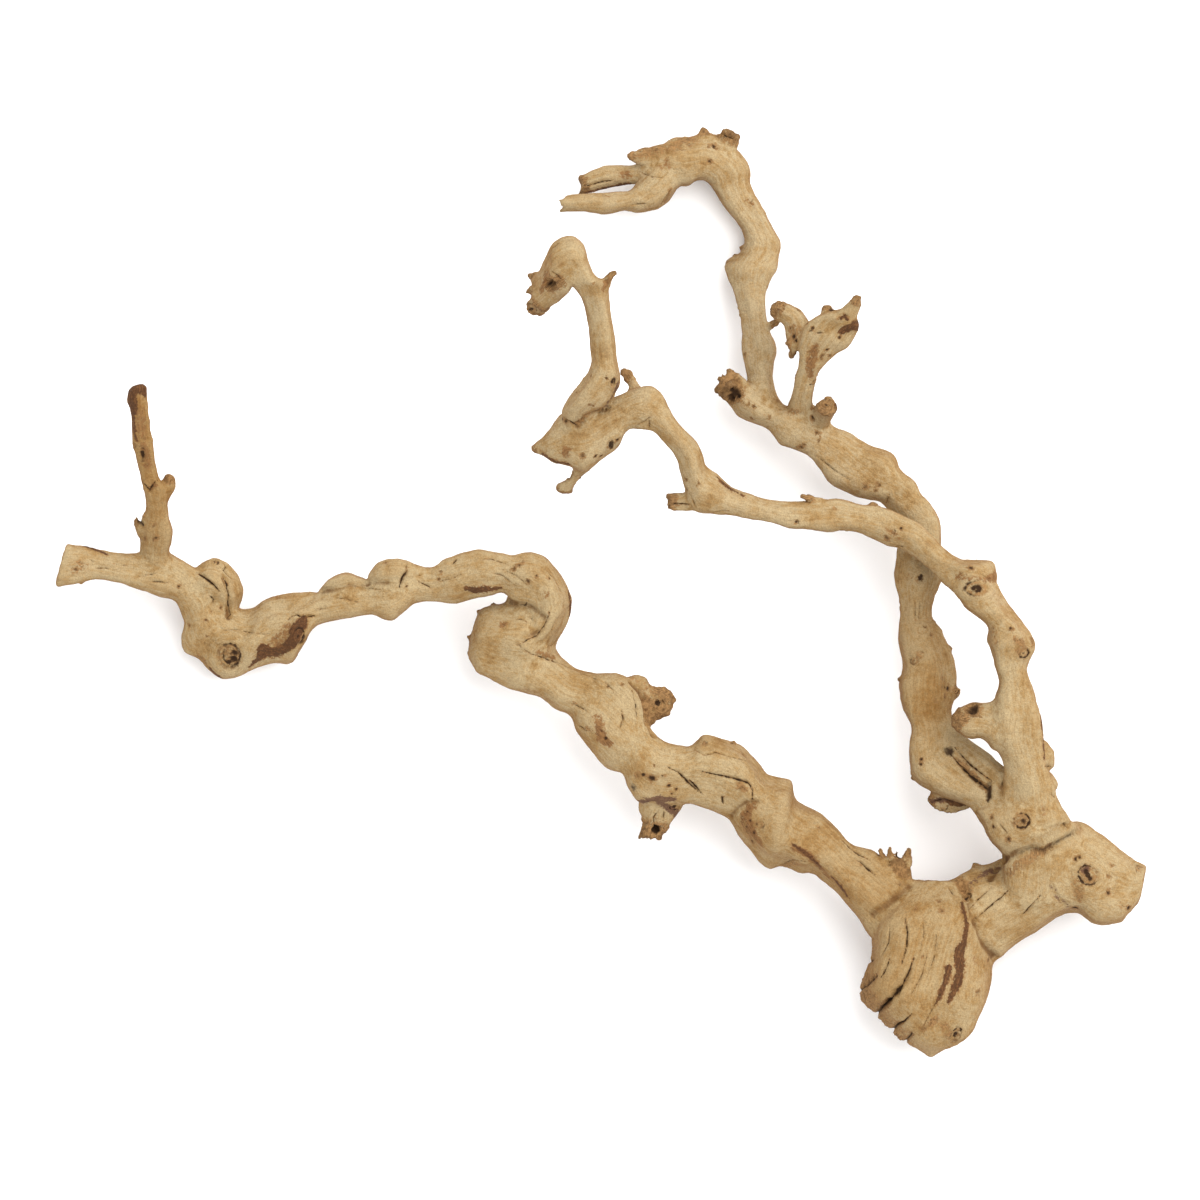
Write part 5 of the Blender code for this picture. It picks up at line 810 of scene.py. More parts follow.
def smoothRow(rows, step):
    # an even walk along a smooth curve through the rows of a table
    rows = np.array(rows, dtype=float)
    middles = np.column_stack([(rows[:, 0] + rows[:, 2]) / 2, (rows[:, 1] + rows[:, 3]) / 2, rows[:, 4]])
    spans = np.maximum(np.linalg.norm(np.diff(middles, axis=0), axis=1), 0.5)
    knots = np.concatenate([[0.0], np.cumsum(spans)])
    slopes = np.empty_like(rows)
    slopes[0] = (rows[1] - rows[0]) / spans[0]
    slopes[-1] = (rows[-1] - rows[-2]) / spans[-1]
    slopes[1:-1] = (rows[2:] - rows[:-2]) / (knots[2:] - knots[:-2])[:, None]
    samples = []
    for k, span in enumerate(spans):
        count = max(1, round(span / step))
        for t in np.arange(count) / count:
            samples.append(
                (2 * t**3 - 3 * t**2 + 1) * rows[k] + (t**3 - 2 * t**2 + t) * span * slopes[k]
                + (3 * t**2 - 2 * t**3) * rows[k + 1] + (t**3 - t**2) * span * slopes[k + 1])
    samples.append(rows[-1])
    return np.array(samples)


def flutedSection(along, seed):
    # a closed outline with long ridges
    turns = np.arange(woodShape["sectionSides"]) * (2 * math.pi / woodShape["sectionSides"])
    twist = along * woodShape["fluteTwist"]
    depth = woodShape["fluteDepth"]
    ridge = (
        1.0 + depth * np.cos(3 * (turns - twist) + seed)
        + 0.55 * depth * np.cos(5 * (turns + 0.7 * twist) + 2.3 * seed)
        + 0.35 * depth * np.cos(2 * (turns + 0.4 * twist) + 1.1 * seed))
    across = ridge * np.cos(turns)
    across = 2 * (across - across.min()) / (across.max() - across.min()) - 1
    return across, ridge * np.sin(turns)


def sectionFrames(rows, seed):
    # middle, half width, half thickness, direction, outline and distance of each section
    samples = smoothRow(rows, woodShape["sectionStep"])
    left = samples[:, [0, 1, 4]]
    right = samples[:, [2, 3, 4]]
    middles = (left + right) / 2
    sideways = (left - right) / 2
    forward = np.gradient(middles, axis=0)
    forward /= np.linalg.norm(forward, axis=1)[:, None]
    square = np.cross(forward, sideways)
    square /= np.linalg.norm(square, axis=1)[:, None]
    gentle, steep = woodShape["gentleSlope"], woodShape["steepSlope"]
    tilt = np.clip((np.abs(forward[:, 2]) - gentle) / (steep - gentle), 0, 1)[:, None]
    plumb = np.array([0, 0, 1]) / np.maximum(square[:, 2:], gentle)
    upward = (1 - tilt) * plumb + tilt * square
    halfHeight = np.linalg.norm(sideways, axis=1) * samples[:, 5]
    travelled = np.concatenate([[0.0], np.cumsum(np.linalg.norm(np.diff(middles, axis=0), axis=1))])
    return [(middles[k], sideways[k], upward[k] * halfHeight[k], forward[k],
             flutedSection(travelled[k], seed), travelled[k]) for k in range(len(samples))]


def ringPoints(section, grow, advance, roughness):
    # one section as points, swollen or shrunk, and moved along the limb
    middle, sideways, upward, forward, (across, up), _ = section
    points = middle + grow * (across[:, None] * sideways + up[:, None] * upward) + advance * forward
    if roughness:
        coarse, fine = woodShape["breakScales"]
        wobble = [noise.noise(Vector(p) * coarse) + 0.6 * noise.noise(Vector(p) * fine) for p in points]
        points = points + forward * (roughness * np.array(wobble))[:, None]
    return points


# The rings that close a limb: how large each is, how far out, and how rough
roundEnd = (18, 35, 50, 64, 76, 85)             # degrees round the dome of a worn end
brokenEnd = ((1.0, 1.0, 0.0, 3.2), (0.72, 0.6, 0.0, 1.6), (0.35, 1.0, 2.6, 0.8))
sawnEnd = ((0.97, 0.5), (0.7, 0.6), (0.35, 0.6))


def endRings(section, kind, reach, outward):
    # from the last full section outwards
    if kind == "round":
        angles = [math.radians(a) for a in roundEnd]
        return [ringPoints(section, math.cos(a), outward * reach * math.sin(a), 0) for a in angles]
    if kind == "broken":
        return [ringPoints(section, grow, outward * (reach * share - sunk), roughness)
                for grow, share, sunk, roughness in brokenEnd]
    if kind == "sawn":
        return [ringPoints(section, grow, outward * out, 0) for grow, out in sawnEnd]
    return [ringPoints(section, 0.5, 0, 0)]


def loftLimb(sections, firstEnd, firstReach, lastEnd, lastReach):
    # extruded ring by ring from a circle, and capped
    rings = endRings(sections[0], firstEnd, firstReach, -1)[::-1]
    rings += [ringPoints(section, 1.0, 0, 0) for section in sections]
    rings += endRings(sections[-1], lastEnd, lastReach, 1)
    bm = bmesh.new()
    sides = woodShape["sectionSides"]
    corners = bmesh.ops.create_circle(bm, cap_ends=True, segments=sides, radius=1)["verts"]
    edges = bm.edges[:]
    for k, ring in enumerate(rings):
        if k:
            made = bmesh.ops.extrude_edge_only(bm, edges=edges)["geom"]
            edges = [e for e in made if isinstance(e, bmesh.types.BMEdge)]
            fresh = {v for v in made if isinstance(v, bmesh.types.BMVert)}
            corners = [
                next(e.other_vert(c) for e in c.link_edges if e.other_vert(c) in fresh) for c in corners]
            rim = set(corners)
            edges = [e for e in edges if e.verts[0] in rim and e.verts[1] in rim]
        for corner, point in zip(corners, ring):
            corner.co = Vector(point) * mm
    bmesh.ops.holes_fill(bm, edges=edges)
    bmesh.ops.recalc_face_normals(bm, faces=bm.faces)
    return bm


def evaluatedMesh(holder):
    bpy.context.view_layer.update()
    mesh = bpy.data.meshes.new_from_object(holder.evaluated_get(bpy.context.evaluated_depsgraph_get()))
    bpy.data.objects.remove(holder)
    return mesh


def newHolder(name, mesh):
    holder = bpy.data.objects.new(name, mesh)
    bpy.context.scene.collection.objects.link(holder)
    return holder


def growTogether(limbs):
    # all limbs as one closed surface
    whole = bmesh.new()
    for bm in limbs:
        mesh = bpy.data.meshes.new("limb")
        bm.to_mesh(mesh)
        bm.free()
        whole.from_mesh(mesh)
        bpy.data.meshes.remove(mesh)
    joined = bpy.data.meshes.new("joinedLimbs")
    whole.to_mesh(joined)
    whole.free()
    holder = newHolder("joinedLimbs", joined)
    remesh = holder.modifiers.new("grownTogether", "REMESH")
    remesh.mode = "VOXEL"
    remesh.voxel_size = woodShape["grid"] * mm
    return evaluatedMesh(holder)


def readPlaces(mesh):
    flat = np.empty(len(mesh.vertices) * 3)
    mesh.vertices.foreach_get("co", flat)
    return flat.reshape(-1, 3)


def readNormals(mesh):
    flat = np.empty(len(mesh.vertices) * 3)
    mesh.vertex_normals.foreach_get("vector", flat)
    return flat.reshape(-1, 3)


def writePlaces(mesh, places):
    mesh.vertices.foreach_set("co", places.ravel())
    mesh.update()


def readEdges(mesh):
    flat = np.empty(len(mesh.edges) * 2, dtype=np.int32)
    mesh.edges.foreach_get("vertices", flat)
    return flat.reshape(-1, 2)


def neighbourMean(values, edges, degree):
    # the mean of each vertex's neighbours, for places or for one number each
    columns = values.reshape(len(degree), -1)
    total = np.empty_like(columns)
    for axis in range(columns.shape[1]):
        total[:, axis] = np.bincount(edges[:, 0], columns[edges[:, 1], axis], len(degree))
        total[:, axis] += np.bincount(edges[:, 1], columns[edges[:, 0], axis], len(degree))
    return (total / degree[:, None]).reshape(values.shape)


def vertexDegree(mesh, edges):
    return np.maximum(np.bincount(edges.ravel(), minlength=len(mesh.vertices)), 1).astype(float)


def noiseAt(points, scale):
    return np.array([noise.noise(Vector(p)) for p in points * scale])


def fillCrotches(mesh):
    # hollow creases fill up and ridges stay, as wood grows over a crotch
    edges = readEdges(mesh)
    degree = vertexDegree(mesh, edges)
    places = readPlaces(mesh)
    places += woodShape["firstSmoothing"] * (neighbourMean(places, edges, degree) - places)
    writePlaces(mesh, places)
    for _ in range(woodShape["filletRounds"]):
        normals = readNormals(mesh)
        pull = neighbourMean(places, edges, degree) - places
        lift = np.einsum("ij,ij->i", pull, normals)
        places += woodShape["filletRate"] * np.maximum(lift, 0)[:, None] * normals
        writePlaces(mesh, places)


limbStride = 37.0       # sets the grain of one limb apart from the next


class GrainMap:
    # which limb a point belongs to, and where it lies along and across that limb
    def __init__(self, plans):
        self.sections = []
        self.limbOf = []
        anchors = []
        for number, sections in enumerate(plans):
            for section in sections:
                for point in ringPoints(section, 1.0, 0, 0):
                    anchors.append((point, len(self.sections)))
                self.sections.append(section)
                self.limbOf.append(number)
        self.tree = KDTree(len(anchors))
        for k, (point, _) in enumerate(anchors):
            self.tree.insert(Vector(point), k)
        self.tree.balance()
        self.anchorSection = np.array([a[1] for a in anchors])

    def read(self, points):
        nearest = self.anchorSection[[self.tree.find(Vector(p))[1] for p in points]]
        middles = np.array([s[0] for s in self.sections])[nearest]
        forward = np.array([s[3] for s in self.sections])[nearest]
        sideways = np.array([s[1] / np.linalg.norm(s[1]) for s in self.sections])[nearest]
        travelled = np.array([s[5] for s in self.sections])[nearest]
        limb = np.array(self.limbOf)[nearest]
        offset = points - middles
        upward = np.cross(forward, sideways)
        along = travelled + np.einsum("ij,ij->i", offset, forward) + limb * limbStride
        grain = np.column_stack([along, np.einsum("ij,ij->i", offset, sideways),
                                 np.einsum("ij,ij->i", offset, upward)])
        return grain, limb


def distanceAlong(points, line, widths=None):
    # distance from each point to a line of points, less the line's half width there
    best = np.full(len(points), 1e9)
    if len(line) == 1:
        return np.linalg.norm(points - line[0], axis=1) - (widths[0] if widths else 0)
    for k in range(len(line) - 1):
        start, run = line[k], line[k + 1] - line[k]
        share = np.clip((points - start) @ run / max(run @ run, 1e-9), 0, 1)
        gap = np.linalg.norm(points - (start + share[:, None] * run), axis=1)
        if widths:
            gap = gap - (widths[k] + share * (widths[k + 1] - widths[k]))
        best = np.minimum(best, gap)
    return best


class Surface:
    # the wood's vertices in drawing millimetres, with what is painted on them
    def __init__(self, mesh):
        self.mesh = mesh
        self.points = readPlaces(mesh) / mm
        self.normals = readNormals(mesh)
        self.sunk = np.zeros(len(self.points))
        self.tree = BVHTree.FromPolygons(
            [Vector(p) for p in self.points], [p.vertices for p in mesh.polygons])
        self.masks = {}
        self.grain = np.zeros((len(self.points), 3))
        coarse, fine = (noiseAt(self.points, scale) for scale in woodShape["wanderScales"])
        self.wander = woodShape["edgeWander"] * (coarse + 0.6 * fine)
        self.drift = noiseAt(self.points + 50, woodShape["driftScale"])

    def above(self, x, y):
        hit = self.tree.ray_cast(Vector((x, y, 1000)), Vector((0, 0, -1)))[0]
        return None if hit is None else np.array(hit)

    def dropLine(self, flat):
        # a line of the plan laid on the wood, closely enough to follow its swells
        dense = []
        for start, end in zip(flat[:-1], flat[1:]):
            count = max(1, round(math.dist(start[:2], end[:2]) / woodShape["markStep"]))
            dense += [tuple(np.array(start) + t * (np.array(end) - np.array(start)))
                      for t in np.arange(count) / count]
        dense.append(tuple(flat[-1]))
        kept = [(self.above(p[0], p[1]), p[2:]) for p in dense]
        kept = [(spot, rest) for spot, rest in kept if spot is not None]
        return [spot for spot, _ in kept], [rest[0] for _, rest in kept if rest]

    def near(self, line, reach):
        low = np.min(line, axis=0) - reach
        high = np.max(line, axis=0) + reach
        return np.flatnonzero(np.all((self.points > low) & (self.points < high), axis=1))

    def paint(self, name, where, amount):
        mask = self.masks.setdefault(name, np.zeros(len(self.points)))
        mask[where] = np.maximum(mask[where], amount)


# How marks are cut and painted; lengths in drawing millimetres, the rest are shares
markShape = {
    "crackReach": 2.5,          # how far from its line a crack still shows
    "crackFade": 0.3,           # part of a crack's length over which each end thins
    "leastTaper": 0.3,
    "crackStain": 1.1,          # width of the brown beside a crack
    "splinterScale": 0.28,      # steps along a splintered rim, per millimetre
    "splinterSteps": 2.2,
    "knotReach": 3.2,           # the next seven are by the knot's size
    "knotWander": 1.1,
    "knotFade": 1.5,
    "collarHeight": 0.1,
    "collarWidth": 0.4,
    "holeDepth": 0.55,
    "grainFlow": 1.1,           # the grain runs round the larger knots
    "flowFrom": 1.7,
    "rimDepth": 0.55,
    "rippleDepth": 0.11,        # rings in the wood round a knot
    "rippleSpacing": 1.9,
    "knotStain": 2.2,
    "pitReach": 2.2,            # by the pit's radius
    "pitDepth": 0.45,
    "hollowRim": 3,
    "barkEdge": 2.0,            # softness of the edges of bark and of stains
    "barkFringe": 0.6,
    "barkHeight": 0.22,         # bark stands out from the blasted wood
    "stainEdge": 2.4,
    "tipTone": 0.62,
    "tipLumpScale": 0.36,       # lumps on a broken end, per millimetre
    "tipLumpLength": 8,         # brown tips shorter than this have lower lumps
}


def crackLine(wood, line, halfWidth, depth):
    # a V cut that wanders, thins and fades along its length
    if len(line) < 2:
        return
    where = wood.near(line, halfWidth + markShape["crackReach"])
    points = wood.points[where]
    ends = np.linalg.norm(points - line[0], axis=1), np.linalg.norm(points - line[-1], axis=1)
    length = sum(np.linalg.norm(b - a) for a, b in zip(line[:-1], line[1:]))
    fade = max(markShape["crackFade"] * length, 1.0)
    taper = np.clip(np.minimum(*ends) / fade, markShape["leastTaper"], 1)
    gap = distanceAlong(points, line) + 0.5 * wood.wander[where]
    width = halfWidth * taper * (1 + 0.5 * wood.drift[where])
    cut = np.clip(1 - gap / (1.9 * width + 0.25), 0, 1)
    wood.sunk[where] = np.maximum(wood.sunk[where], depth * taper * cut)
    darkness = np.clip(0.34 + 0.36 * depth, 0, 1) * np.clip(0.9 + 0.55 * wood.drift[where], 0.4, 1)
    wood.paint("crack", where, darkness * np.clip(1.1 - gap / (1.15 * width + 0.25), 0, 1))
    beside = np.clip(1 - gap / (halfWidth + markShape["crackStain"]), 0, 1)
    wood.paint("brown", where, 0.3 * darkness * beside)


def insidePlan(wood, line, margin):
    # the wood's plan, and which vertices lie over or under the box round a line
    plan = wood.points * (1, 1, 0)
    low, high = line.min(axis=0) - margin, line.max(axis=0) + margin
    return plan, np.all((plan >= low) & (plan <= high), axis=1)


def notchEdge(wood, halfWidth, depth, flat):
    # a crack that runs out over the edge and down the flank
    line = np.array([(x, y, 0.0) for x, y in flat])
    plan, close = insidePlan(wood, line, 3)
    where = np.flatnonzero(close & (wood.normals[:, 2] > -0.5))
    gap = distanceAlong(plan[where], line) + 0.6 * wood.drift[where]
    cut = np.clip(1 - gap / halfWidth, 0, 1)
    wood.sunk[where] += depth * cut
    wood.paint("crack", where, 0.8 * np.clip(1.3 * cut - 0.2, 0, 1))
    wood.paint("brown", where, 0.5 * np.clip(2 - gap / halfWidth, 0, 1))


def ruggedEdge(wood, reach, roughness, flat):
    # a splintered rim, seen from the side as well as from above
    line = np.array([(x, y, 0.0) for x, y in flat])
    plan, close = insidePlan(wood, line, reach)
    where = np.flatnonzero(close)
    fade = np.clip(1.2 - distanceAlong(plan[where], line) / reach, 0, 1)
    steps = markShape["splinterSteps"]
    heights = np.round(steps * noiseAt(plan[where] + 9, markShape["splinterScale"])) / steps
    wood.sunk[where] += roughness * fade * (heights + 0.5 * wood.drift[where])
    wood.paint("brown", where, 0.45 * fade)


def foldLine(wood, line, halfWidth, depth):
    # a rounded groove of even width
    if len(line) < 2:
        return
    where = wood.near(line, halfWidth + 1)
    gap = distanceAlong(wood.points[where], line)
    wood.sunk[where] += depth * np.clip(1 - (gap / halfWidth) ** 2, 0, 1) ** 1.5


def knotAt(wood, spot, half, turn, rim, shadedSide, hole, axis=(0, 0, 1)):
    # a healed branch: a broken dark rim with painted shade on one side, a raised collar that the grain flows
    # round, and a hole
    if spot is None:
        return
    axis = np.array(axis)
    right = np.cross((0.0, 1.0, 0.0), axis)
    right /= np.linalg.norm(right)
    back = np.cross(axis, right)
    size = (half[0] + half[1]) / 2
    where = wood.near([spot], markShape["knotReach"] * size)
    offset = wood.points[where] - spot
    drift = wood.drift[where]
    a, b = offset @ right, offset @ back
    spin = math.radians(turn)
    p = (math.cos(spin) * a + math.sin(spin) * b) / half[0]
    q = (math.cos(spin) * b - math.sin(spin) * a) / half[1]
    share = np.sqrt(p**2 + q**2) + markShape["knotWander"] * wood.wander[where] / size
    gap = (share - 1) * size

    # painted shade: the rim darkens toward one side, on a ring that is dark of its own
    darker = 0.5 + 0.5 * np.cos(np.arctan2(b, a) - math.radians(shadedSide))
    broken = np.clip(0.85 + 1.2 * drift, 0.15, 1.1)
    ring = rim * (0.3 + 0.8 * darker) * broken * np.exp(-((gap / (0.3 + 0.07 * size)) ** 2))
    collarWidth = markShape["collarWidth"] * size
    collar = markShape["collarHeight"] * size * np.exp(-(((gap - collarWidth) / collarWidth) ** 2))
    wood.sunk[where] += markShape["rimDepth"] * ring - collar
    far = np.exp(-((gap / (markShape["knotFade"] * size)) ** 2))
    waves = np.cos(2 * math.pi * gap / markShape["rippleSpacing"])
    wood.sunk[where] += markShape["rippleDepth"] * np.clip(gap / 0.8, 0, 1) * far * waves
    inside = np.clip(0.5 - gap / 0.8, 0, 1)
    wood.sunk[where] += inside * (0.06 * size + 0.5 * drift)

    wood.paint("dark", where, np.clip(ring, 0, 1))
    if hole:
        pit = np.clip(1 - (share / hole) ** 2, 0, 1)
        wood.sunk[where] += markShape["holeDepth"] * size * hole * np.sqrt(pit)
        wood.paint("dark", where, np.clip(1.8 * pit, 0, 1) * np.clip(0.9 + 0.8 * drift, 0.4, 1))
    wood.paint("brown", where, 0.42 * inside * np.clip(0.8 + 1.4 * drift, 0.2, 1))
    wood.paint("brown", where, 0.3 * rim * np.clip(1 - gap / markShape["knotStain"], 0, 1))
    if size > markShape["flowFrom"]:
        flow = np.exp(-((np.maximum(gap, 0) / (markShape["grainFlow"] * size)) ** 2))[:, None]
        rounded = np.column_stack([wood.grain[where, 0], gap, 0 * gap])
        wood.grain[where] = (1 - flow) * wood.grain[where] + flow * rounded


def pitAt(wood, spot, radius, darkness):
    # an insect hole or a dot
    if spot is None:
        return
    where = wood.near([spot], markShape["pitReach"] * radius + 1)
    away = np.linalg.norm(wood.points[where] - spot, axis=1)
    gap = away * (1 + 0.5 * wood.drift[where]) + 0.8 * wood.wander[where]
    wood.sunk[where] += markShape["pitDepth"] * darkness * radius * np.clip(1 - (gap / radius) ** 2, 0, 1)
    wood.paint("dark", where, darkness * np.clip(1.25 - gap / radius, 0, 1))
    wood.paint("brown", where, (0.35 + 0.4 * darkness) * np.clip(1.5 - gap / (1.2 * radius), 0, 1))


def hollowAt(wood, spot, radius, depth, darkness):
    # the rotted core of a broken end: sunk, darkened inside with painted shade, and browner round its rim
    if spot is None:
        return
    where = wood.near([spot], radius + markShape["hollowRim"])
    flat = wood.points[where] - spot
    gap = np.linalg.norm(flat * (1, 1, 0.6), axis=1) + 1.2 * wood.wander[where]
    sink = np.clip(1.1 - (gap / radius) ** 2, 0, 1)
    wood.sunk[where] += depth * sink
    # painted shade inside the hollow
    wood.paint("dark", where, darkness * np.clip(1.5 * sink, 0, 1))
    wood.paint("brown", where, 0.9 * np.clip((radius + 2 - gap) / 2, 0, 1))


def patchAlong(wood, line, widths, name, strength, soft):
    # a patch of colour with a ragged edge; half strength lies on the line's own width
    if not line:
        return
    where = wood.near(line, max(widths) + soft + 1)
    gap = distanceAlong(wood.points[where], line, widths) + 1.3 * wood.wander[where] + 0.5 * wood.drift[where]
    wood.paint(name, where, strength * np.clip(0.5 - gap / soft, 0, 1))


def paintTips(wood, limb, grain, plans):
    # broken and worn ends are browner than the blasted wood
    for number, (plan, sections) in enumerate(zip(limbPlan, plans)):
        tip = plan[5]
        if not tip:
            continue
        where = np.flatnonzero(limb == number)
        left = sections[-1][5] + number * limbStride - grain[where, 0]
        fade = np.clip((tip - left) / (0.5 * tip) + 1.2 * wood.wander[where], 0, 1)
        wood.paint("brown", where, markShape["tipTone"] * fade)
        lumps = noiseAt(wood.points[where], markShape["tipLumpScale"]) + 0.6 * wood.drift[where]
        height = woodShape["tipLumps"] * fade * min(tip / markShape["tipLumpLength"], 1)
        wood.sunk[where] += height * lumps
        wood.paint("dark", where, 0.3 * np.clip(1 - left / 1.2 + 2 * wood.wander[where], 0, 1) * (tip > 4))


def paintTones(wood):
    # broad browner and paler parts, blended into each other
    shade = np.zeros(len(wood.points))
    for x, y, radius, amount in tones:
        away = np.linalg.norm(wood.points[:, :2] - (x, y), axis=1)
        shade += amount * np.exp(-((away / radius) ** 2))
    wood.masks["tan"] = shade


def markFromAbove(wood):
    # everything the drawing shows on the upper side
    for halfWidth, depth, flat in folds:
        foldLine(wood, wood.dropLine(flat)[0], halfWidth, depth)
    for x, y, radius, depth, darkness in hollows:
        hollowAt(wood, wood.above(x, y), radius, depth, darkness)
    for x, y, firstHalf, secondHalf, turn, rim, shadedSide, hole in knots:
        knotAt(wood, wood.above(x, y), (firstHalf, secondHalf), turn, rim, shadedSide, hole)
    for x, y, radius, darkness in pits:
        pitAt(wood, wood.above(x, y), radius, darkness)
    for halfWidth, depth, flat in cracks:
        crackLine(wood, wood.dropLine(flat)[0], halfWidth, depth)
    for halfWidth, depth, flat in notches:
        notchEdge(wood, halfWidth, depth, flat)
    for reach, roughness, flat in ruggedEdges:
        ruggedEdge(wood, reach, roughness, flat)
    for strip in barkStrips:
        line, widths = wood.dropLine(strip)
        fringe = [w + markShape["barkFringe"] for w in widths]
        patchAlong(wood, line, widths, "bark", 1.0, markShape["barkEdge"])
        patchAlong(wood, line, fringe, "red", 0.4, markShape["stainEdge"])
    for tone, strength, spots in stains:
        line, widths = wood.dropLine(spots)
        patchAlong(wood, line, widths, tone, strength, markShape["stainEdge"])


def surfaceWalk(wood, sections, first, last, turn, drift):
    # a line along a limb's side, from section to section, laid on the grown surface
    line = []
    for k in range(first, last, 2):
        middle, sideways, upward, *_ = sections[k]
        angle = turn + drift * (k - first)
        point = middle + math.cos(angle) * sideways + math.sin(angle) * upward
        spot, facing, _, gap = wood.tree.find_nearest(Vector(point))
        if spot is not None and gap < hiddenMarks["farthest"]:
            line.append((np.array(spot), np.array(facing)))
    return line


# Marks that no photograph shows: limb sections for each mark, sizes, and the angle round the limb
# in degrees, where 270 is straight down
hiddenMarks = {
    "shortest": 12,             # sections of the shortest limb that gets any
    "farthest": 3,              # from a limb's own side to the grown surface
    "sectionsPerCrack": 16,
    "sectionsPerKnot": 34,
    "sectionsPerPit": 14,
    "sectionsPerBark": 30,
    "crackSide": (195, 345),
    "knotSide": (190, 350),
    "pitSide": (185, 355),
    "barkSide": (200, 340),
    "crackSections": (6, 18),
    "barkSections": (5, 22),
    "crackTwist": (-0.02, 0.02),
    "crackHalfWidth": (0.3, 0.8),
    "crackDepth": (0.8, 2.2),
    "knotLong": (1.6, 3.8),
    "knotWide": (1.4, 3.0),
    "knotRim": (0.4, 1.0),
    "knotHoles": (0, 0.3, 0.55),
    "pitRadius": (0.8, 1.8),
    "pitDarkness": (0.3, 1.0),
    "barkHalfWidth": (0.6, 2.6),
}


def markHiddenSides(wood, plans):
    # cracks, knots, pits and bark on the flanks and the underside, drawn by lot
    lot = random.Random(woodShape["seed"])

    def draw(name):
        return lot.uniform(*hiddenMarks[name])

    def repeats(count, name):
        return range(max(1, round(count / hiddenMarks[name])))

    for sections in plans:
        count = len(sections)
        if count < hiddenMarks["shortest"]:
            continue
        for _ in repeats(count, "sectionsPerCrack"):
            first = lot.randrange(0, count - 8)
            last = min(count, first + lot.randint(*hiddenMarks["crackSections"]))
            turn = math.radians(draw("crackSide"))
            walk = surfaceWalk(wood, sections, first, last, turn, draw("crackTwist"))
            crackLine(wood, [spot for spot, _ in walk], draw("crackHalfWidth"), draw("crackDepth"))
        for _ in repeats(count, "sectionsPerKnot"):
            first = lot.randrange(0, count - 4)
            walk = surfaceWalk(wood, sections, first, first + 2, math.radians(draw("knotSide")), 0)
            half = draw("knotLong"), draw("knotWide")
            # the side on which painted shade darkens the knot's rim is drawn by lot
            rim, side, hole = draw("knotRim"), lot.uniform(0, 360), lot.choice(hiddenMarks["knotHoles"])
            if walk:
                knotAt(wood, walk[0][0], half, lot.uniform(0, 180), rim, side, hole, walk[0][1])
        for _ in repeats(count, "sectionsPerPit"):
            first = lot.randrange(0, count - 4)
            walk = surfaceWalk(wood, sections, first, first + 2, math.radians(draw("pitSide")), 0)
            radius, darkness = draw("pitRadius"), draw("pitDarkness")
            if walk:
                pitAt(wood, walk[0][0], radius, darkness)
        for _ in repeats(count, "sectionsPerBark"):
            first = lot.randrange(0, count - 8)
            last = min(count, first + lot.randint(*hiddenMarks["barkSections"]))
            walk = surfaceWalk(wood, sections, first, last, math.radians(draw("barkSide")), 0)
            widths = [draw("barkHalfWidth") for _ in walk]
            patchAlong(wood, [spot for spot, _ in walk], widths, "bark", 1.0, markShape["barkEdge"])


def refineNear(mesh, flags):
    # twice as fine a surface where something small is cut in
    bm = bmesh.new()
    bm.from_mesh(mesh)
    bm.verts.ensure_lookup_table()
    edges = [e for e in bm.edges if flags[e.verts[0].index] and flags[e.verts[1].index]]
    bmesh.ops.subdivide_edges(bm, edges=edges, cuts=1, use_grid_fill=True)
    bm.to_mesh(mesh)
    bm.free()
    return mesh


def detailFlags(wood):
    close = np.zeros(len(wood.points), dtype=bool)
    for name in ("crack", "bark", "dark", "purple"):
        if name in wood.masks:
            close |= wood.masks[name] > 0.02
    return close


def addAttribute(mesh, name, values):
    kind = "FLOAT_VECTOR" if values.ndim == 2 else "FLOAT"
    layer = mesh.attributes.new(name, kind, "POINT")
    layer.data.foreach_set("vector" if values.ndim == 2 else "value", values.astype(np.float32).ravel())


def roughen(mesh, grainMap):
    # gentle uneven growth, and ridges that follow the grain
    points = readPlaces(mesh) / mm
    normals = readNormals(mesh)
    grain, limb = grainMap.read(points)
    steady = steadiness(mesh, limb)
    growth = woodShape["swell"] + woodShape["rippleHeight"] * noiseAt(points, 1 / woodShape["rippleSize"])
    growth += woodShape["lumpHeight"] * noiseAt(points, 1 / woodShape["lumpSize"])
    stretched = grain / (woodShape["grainLength"], woodShape["grainWidth"], woodShape["grainWidth"])
    ridges = woodShape["grainHeight"] * noiseAt(stretched, 1) * steady
    writePlaces(mesh, (points + normals * (growth + ridges)[:, None]) * mm)


def steadiness(mesh, limb):
    # one inside a limb, fading to nothing where two limbs meet
    edges = readEdges(mesh)
    degree = vertexDegree(mesh, edges)
    change = np.zeros(len(limb))
    differs = limb[edges[:, 0]] != limb[edges[:, 1]]
    change[edges[differs].ravel()] = 1
    for _ in range(woodShape["blendRounds"]):
        change = np.maximum(change, 1.15 * neighbourMean(change, edges, degree) - 0.02)
        change = np.clip(change, 0, 1)
    return 1 - change


def sharpestSpots(wood, edges, degree):
    # where the marks change most abruptly, less so underneath
    change = np.zeros(len(wood.points))
    for name in ("crack", "dark", "bark", "purple"):
        blurred = wood.masks[name]
        for _ in range(3):
            blurred = neighbourMean(blurred, edges, degree)
        change = np.maximum(change, np.abs(wood.masks[name] - blurred))
    change = neighbourMean(change, edges, degree) * np.where(wood.normals[:, 2] > -0.2, 1, 0.5)
    return change > np.sort(change)[-woodShape["keptSpots"]]


